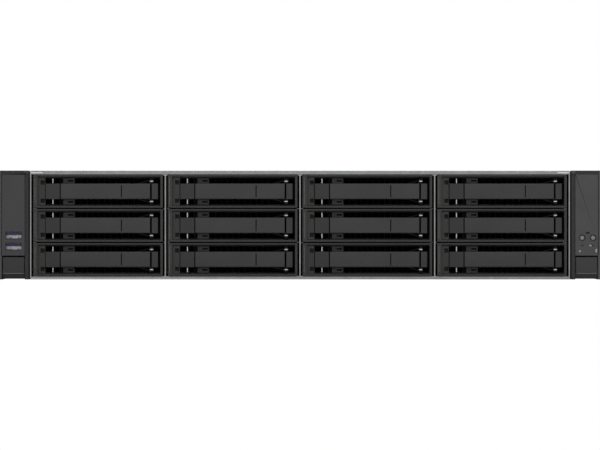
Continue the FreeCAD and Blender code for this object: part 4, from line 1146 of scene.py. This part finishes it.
def build_ear_circuit(name, side):
    """Small upright circuit board behind an ear's panel."""
    wall, outer = ear_places()[:2]
    circuit = side_block(name + "_circuit", side, (wall + 3.7 * MM, outer - 2 * MM),
                         (CIRCUIT_FRONT, CIRCUIT_FRONT + 1.6 * MM), (21.2 * MM, 47.2 * MM))
    return soften(circuit, 0.1 * MM, 1)


class RACKSERVER_OT_ears(bpy.types.Operator):
    """Models both rack ears: housing, flange, screws, sockets, indicators and circuit board"""
    bl_idname = "rack_server.ears"
    bl_label = "Rack ears"

    def execute(self, context):
        sizes = context.scene.rack_server_sizes
        for side, name, windows in ((-1, "left_ear", usb_windows()), (1, "right_ear", control_windows())):
            housing = build_ear_housing(sizes, side, windows)
            finish_piece(housing, finishes()[name], "chassis", [name])
            finish_housing(housing, ear_places()[2])
            flange, screws = build_flange(side)
            finish_piece(flange, finishes()["steel"], "chassis")
            finish_piece(screws, finishes()["nickel"], "chassis")
            finish_piece(build_ear_circuit(name, side), finishes()["board"], "chassis")
        shells, tongues = build_usb()
        finish_piece(shells, finishes()["nickel"], "chassis")
        # Painted shade: the front rims of the sockets get the darker copy of the nickel
        rim = CAD_BOX[0].y + 1.0 * MM
        paint(shells, finishes()["shaded_nickel"], lambda place, normal: place.y < rim and normal.y < -0.5)
        finish_piece(tongues, finishes()["tongue"], "chassis")
        finish_piece(build_lenses(), finishes()["lens"], "chassis")
        finish_piece(build_switches(), finishes()["black"], "chassis")
        return {"FINISHED"}


class RACKSERVER_OT_controls(bpy.types.Operator):
    """Models the hinged flaps of both ears and the two round push buttons"""
    bl_idname = "rack_server.controls"
    bl_label = "Ear flaps and push buttons"

    def execute(self, context):
        for side in (-1, 1):
            stem = side_name(side) + "_ear_"
            flap = build_flap(side)
            flap.name = flap.data.name = stem + "flap"
            # Painted light and shade: the left flap gets the darker copy, the right flap the lighter one
            finish_piece(flap, finishes()["flap_" + side_name(side)], stem + "latch",
                         [stem + "latch"])
            # Painted highlight: the bead in lighter plastic along the lip
            bead = build_lip_bead(side)
            bead.name = bead.data.name = stem + "lip_highlight_bead"
            finish_piece(bead, finishes()["lip"], stem + "latch")
        for name in ("power_button", "id_button"):
            finish_piece(build_push_button(name), finishes()["control"], name, [name])
        return {"FINISHED"}


# ---- Front cover --------------------------------------------------------------------

FRONT_BEND = 2.4 * MM       # radius of the cover's bent front edge


def flat_screw(x, y, top):
    """Countersunk screw with its cross recess, a little below the cover's face."""
    head = start_rod("head", (x, y, top - 0.7 * MM), 2.9 * MM, 0.6 * MM, "Z", 32)
    long, short = 1.8 * MM, 0.35 * MM
    return cut(head, [start_block("cross", (x - a, y - b, top - SEAT), (x + a, y + b, top + PAST))
                      for a, b in ((long, short), (short, long))])


def build_front_cover(sizes):
    """Sheet over the bays: its front edge is bent down in an arc, and six flat screws hold it."""
    low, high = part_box("front_cover")
    plate = start_block("front_cover_sheet", (low.x, low.y, high.z - 1 * MM), high)
    melt(plate, [start_block("fold", (low.x + 1 * MM, low.y, low.z),
                             (high.x - 1 * MM, low.y + 1 * MM, high.z - SEAT))])
    round_edges(plate, lambda place, way: near(place.y, low.y) and near(place.z, high.z), FRONT_BEND, 8)
    places = [(x, y) for x in (low.x + 13 * MM, 0.0, high.x - 13 * MM)
              for y in (low.y + 13 * MM, high.y - 12 * MM)]
    heads = [flat_screw(x, y, high.z) for x, y in places]
    cut(plate, [start_rod("sink", (x, y, high.z - 0.6 * MM), 3.0 * MM, 1.6 * MM, "Z", 32) for x, y in places])
    soften(plate, sizes.fold * 0.6)
    # Thin tabs at both ends of the bend, in a lighter copy of the plated steel: a painted highlight
    tabs = []
    for side in (-1, 1):
        x0, x1 = sorted((side * (high.x - 10.2 * MM), side * (high.x - 0.6 * MM)))
        tabs.append(start_block("tab", (x0, low.y - 0.3 * MM, high.z - 2.1 * MM),
                                (x1, low.y + 0.2 * MM, high.z - 1.4 * MM)))
    return plate, join("front_cover_screws", heads), join("front_corner_tabs", tabs)


class RACKSERVER_OT_front_cover(bpy.types.Operator):
    """Models the fixed cover over the bays with its bent front edge and screws"""
    bl_idname = "rack_server.front_cover"
    bl_label = "Front cover"

    def execute(self, context):
        low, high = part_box("front_cover")
        sheet, screws, tabs = build_front_cover(context.scene.rack_server_sizes)
        finish_piece(sheet, finishes()["cover"], "chassis", ["front_cover"])
        # Painted shade: the flat face under the bend is painted near black
        under_bend = high.z - FRONT_BEND + 0.1 * MM
        paint(sheet, finishes()["shaded_edge"], lambda place, normal:
              place.y < low.y + 0.1 * MM and place.z < under_bend and normal.y < -0.3)
        finish_piece(screws, finishes()["nickel"], "chassis")
        finish_piece(tabs, finishes()["tab_highlight"], "chassis")
        return {"FINISHED"}


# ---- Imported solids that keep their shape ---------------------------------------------

BOARD_WIDTH = 300 * MM      # only the circuit boards are wider


def board_finish(low, high):
    """Finish of each solid on the system board, told apart by its size."""
    size = high - low
    ports_front = 340 * MM
    if size.x > BOARD_WIDTH:
        return "board"
    if size.z > 45 * MM:                                        # a cooler's fins
        return "aluminium"
    if size.x < 6.5 * MM and size.z < 6 * MM:                   # a standoff
        return "nickel"
    if near(size.y, 16 * MM, 6 * MM) and low.y > ports_front:   # a rear port or its tongue
        return "tongue" if size.z < 3 * MM else "nickel"
    if size.x > 70 * MM:                                        # a cooler's base
        return "nickel"
    if near(size.x, 42 * MM, 2 * MM):                           # a processor's lid
        return "aluminium"
    return "nickel" if size.z < 4 * MM else "black"


def memory_finish(low, high):
    """Black sockets, and the thin modules in them."""
    return "black" if high.x - low.x > 3 * MM else "board"


def backplane_finish(low, high):
    return "board" if high.x - low.x > BOARD_WIDTH else "black"


def supply_finish(low, high):
    """Finish of each solid of a power supply."""
    size = high - low
    if size.x > 60 * MM:            # body
        return "supply"
    if size.y > 20 * MM:            # handle
        return "grey_plastic"
    if size.y < 1.5 * MM:           # guard over the air outlet
        return "nickel"
    if size.x > 40 * MM:            # edge connector
        return "board"
    return "black" if size.x > 10 * MM else "nickel"


def steel_finish(low, high):
    """Every solid of a sheet-metal node."""
    return "steel"


class RACKSERVER_OT_solids(bpy.types.Operator):
    """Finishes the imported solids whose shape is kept: sheet metal, boards, fans, power supplies"""
    bl_idname = "rack_server.solids"
    bl_label = "Sheet metal, boards, fans and supplies"

    def execute(self, context):
        sizes = context.scene.rack_server_sizes
        fold = sizes.fold
        for node in ("chassis_pan", "drive_cage"):
            piece = finish_node(node, steel_finish, fold)
            front = CAD_BOX[0].y
            # Painted shade: front-facing faces of the sheet get the darker copy of the plated steel
            paint(piece, finishes()["steel_front_shade"], lambda place, normal:
                  normal.y < -0.9 and place.y < front + 3 * MM and place.z > 0.5 * MM)
        finish_node("rear_panel", steel_finish, fold)
        finish_node("fan_wall", lambda low, high: "black" if high.x - low.x < 100 * MM else "steel", fold)
        finish_node("backplane", backplane_finish, 0.1 * MM)
        finish_node("system_board", board_finish)
        finish_node("memory_modules", memory_finish)
        finish_node("top_cover", lambda low, high: "cover", fold)
        finish_node("cover_latch", lambda low, high: "grey_plastic", 0.5 * MM)
        for number in ("1", "2"):
            finish_node("power_supply_" + number, supply_finish, fold)
            finish_node("power_supply_latch_" + number, lambda low, high: "latch", 0.4 * MM)
        for number in range(1, 5):
            finish_node("fan_rotor_%d" % number, lambda low, high: "black", 0.3 * MM)
        return {"FINISHED"}


# ---- Stage --------------------------------------------------------------------------

KEY_PLACE, KEY_AIM, KEY_SIZE = (0.0, -2.2, 1.5), (0, -0.385, 0.04), 2.2     # metres
TOP_PLACE, TOP_AIM, TOP_SIZE = (0.3, 0.2, 2.2), (0, 0, 0.04), 2.0
FLOOR_SIZE = 12.0
SENSOR = 36.0               # millimetres, across
FRAMING = 0.9985            # the server's width just fills the picture


class RACKSERVER_OT_stage(bpy.types.Operator):
    """Adds the floor, the soft lights, the pale surroundings and the camera"""
    bl_idname = "rack_server.stage"
    bl_label = "Stage"

    def execute(self, context):
        settings = context.scene.rack_server_stage
        context.scene.view_settings.view_transform = "Standard"
        add_floor()
        add_lamp("key_light", KEY_PLACE, KEY_AIM, KEY_SIZE, settings.key)
        add_lamp("top_light", TOP_PLACE, TOP_AIM, TOP_SIZE, settings.top)
        add_surroundings(context.scene, settings.fill)
        add_camera(context.scene, settings.lens)
        return {"FINISHED"}


def add_floor():
    """Pale floor that shows white to the camera where nothing shades it."""
    rest_selection()
    bpy.ops.mesh.primitive_plane_add(size=FLOOR_SIZE, location=(0, 0, 0))
    floor = bpy.context.object
    floor.name = "floor"
    material, surface = new_material("painted_pale_floor")[:2]
    surface.inputs["Base Color"].default_value = shade(linear("#f4f4f4"), 1.0)
    surface.inputs["Roughness"].default_value = 0.9
    rays = add_node(material, "ShaderNodeLightPath")
    white = add_node(material, "ShaderNodeEmission", {"Color": (1, 1, 1, 1), "Strength": 1.0})
    shown = add_node(material, "ShaderNodeMixShader", None,
                     {0: rays.outputs["Is Camera Ray"], 1: surface.outputs["BSDF"],
                      2: white.outputs["Emission"]})
    output = [node for node in material.node_tree.nodes if node.type == "OUTPUT_MATERIAL"][0]
    material.node_tree.links.new(shown.outputs["Shader"], output.inputs["Surface"])
    floor.data.materials.append(material)


def add_lamp(name, place, aim, size, power):
    """Square soft light at a place, turned to its aim."""
    rest_selection()
    bpy.ops.object.light_add(type="AREA", location=place)
    lamp = bpy.context.object
    lamp.name = name
    lamp.data.size = size
    lamp.data.energy = power
    lamp.rotation_mode = "QUATERNION"
    lamp.rotation_quaternion = (Vector(aim) - Vector(place)).to_track_quat("-Z", "Y")


def add_surroundings(scene, fill):
    """White where the camera, glossy surfaces or clear plastic look past the server."""
    world = scene.world or bpy.data.worlds.new("world")
    scene.world = world
    world.use_nodes = True
    tree = world.node_tree
    tree.nodes.clear()
    rays = tree.nodes.new("ShaderNodeLightPath")
    seen = tree.nodes.new("ShaderNodeMath")
    seen.operation = "MAXIMUM"
    tree.links.new(rays.outputs["Is Camera Ray"], seen.inputs[0])
    tree.links.new(rays.outputs["Is Transmission Ray"], seen.inputs[1])
    shown = tree.nodes.new("ShaderNodeMath")
    shown.operation = "MAXIMUM"
    tree.links.new(seen.outputs[0], shown.inputs[0])
    tree.links.new(rays.outputs["Is Glossy Ray"], shown.inputs[1])
    level = tree.nodes.new("ShaderNodeMapRange")
    level.inputs["To Min"].default_value = fill
    level.inputs["To Max"].default_value = 1.0
    tree.links.new(shown.outputs[0], level.inputs["Value"])
    background = tree.nodes.new("ShaderNodeBackground")
    background.inputs["Color"].default_value = (1, 1, 1, 1)
    tree.links.new(level.outputs["Result"], background.inputs["Strength"])
    output = tree.nodes.new("ShaderNodeOutputWorld")
    tree.links.new(background.outputs["Background"], output.inputs["Surface"])


def add_camera(scene, lens):
    """Straight-on view of the front, so far back that the sides don't show."""
    rest_selection()
    low, high = CAD_BOX
    distance = (high.x - low.x) * lens / SENSOR * FRAMING
    bpy.ops.object.camera_add(location=(0, low.y - distance, (low.z + high.z) / 2),
                              rotation=(math.pi / 2, 0, 0))
    camera = bpy.context.object
    camera.name = "camera"
    camera.data.lens = lens
    camera.data.sensor_width = SENSOR
    camera.data.clip_end = 50.0
    scene.camera = camera


# ---- Panel and registration ---------------------------------------------------------

STEPS = (RACKSERVER_OT_bezels, RACKSERVER_OT_trays, RACKSERVER_OT_levers, RACKSERVER_OT_ears,
         RACKSERVER_OT_controls, RACKSERVER_OT_front_cover, RACKSERVER_OT_solids, RACKSERVER_OT_stage)


class RACKSERVER_PT_panel(bpy.types.Panel):
    """Lists the steps that model the server"""
    bl_idname = "RACKSERVER_PT_panel"
    bl_label = "Rack server"
    bl_space_type = "VIEW_3D"
    bl_region_type = "UI"
    bl_category = "Rack server"

    def draw(self, context):
        for step in STEPS:
            self.layout.operator(step.bl_idname)
        for group in ("rack_server_sizes", "rack_server_colours", "rack_server_stage"):
            settings = getattr(context.scene, group)
            for name in settings.__annotations__:
                self.layout.prop(settings, name)


GROUPS = {"rack_server_sizes": RackServerSizes, "rack_server_colours": RackServerColours,
          "rack_server_stage": RackServerStage}


def register():
    for name, group in GROUPS.items():
        bpy.utils.register_class(group)
        setattr(bpy.types.Scene, name, bpy.props.PointerProperty(type=group))
    for item in STEPS + (RACKSERVER_PT_panel,):
        bpy.utils.register_class(item)


def unregister():
    for item in (RACKSERVER_PT_panel,) + STEPS[::-1]:
        bpy.utils.unregister_class(item)
    for name, group in GROUPS.items():
        delattr(bpy.types.Scene, name)
        bpy.utils.unregister_class(group)


def main():
    """Runs every step in order."""
    register()
    for step in STEPS:
        group, name = step.bl_idname.split(".")
        getattr(getattr(bpy.ops, group), name)()


if __name__ == "__main__":
    main()
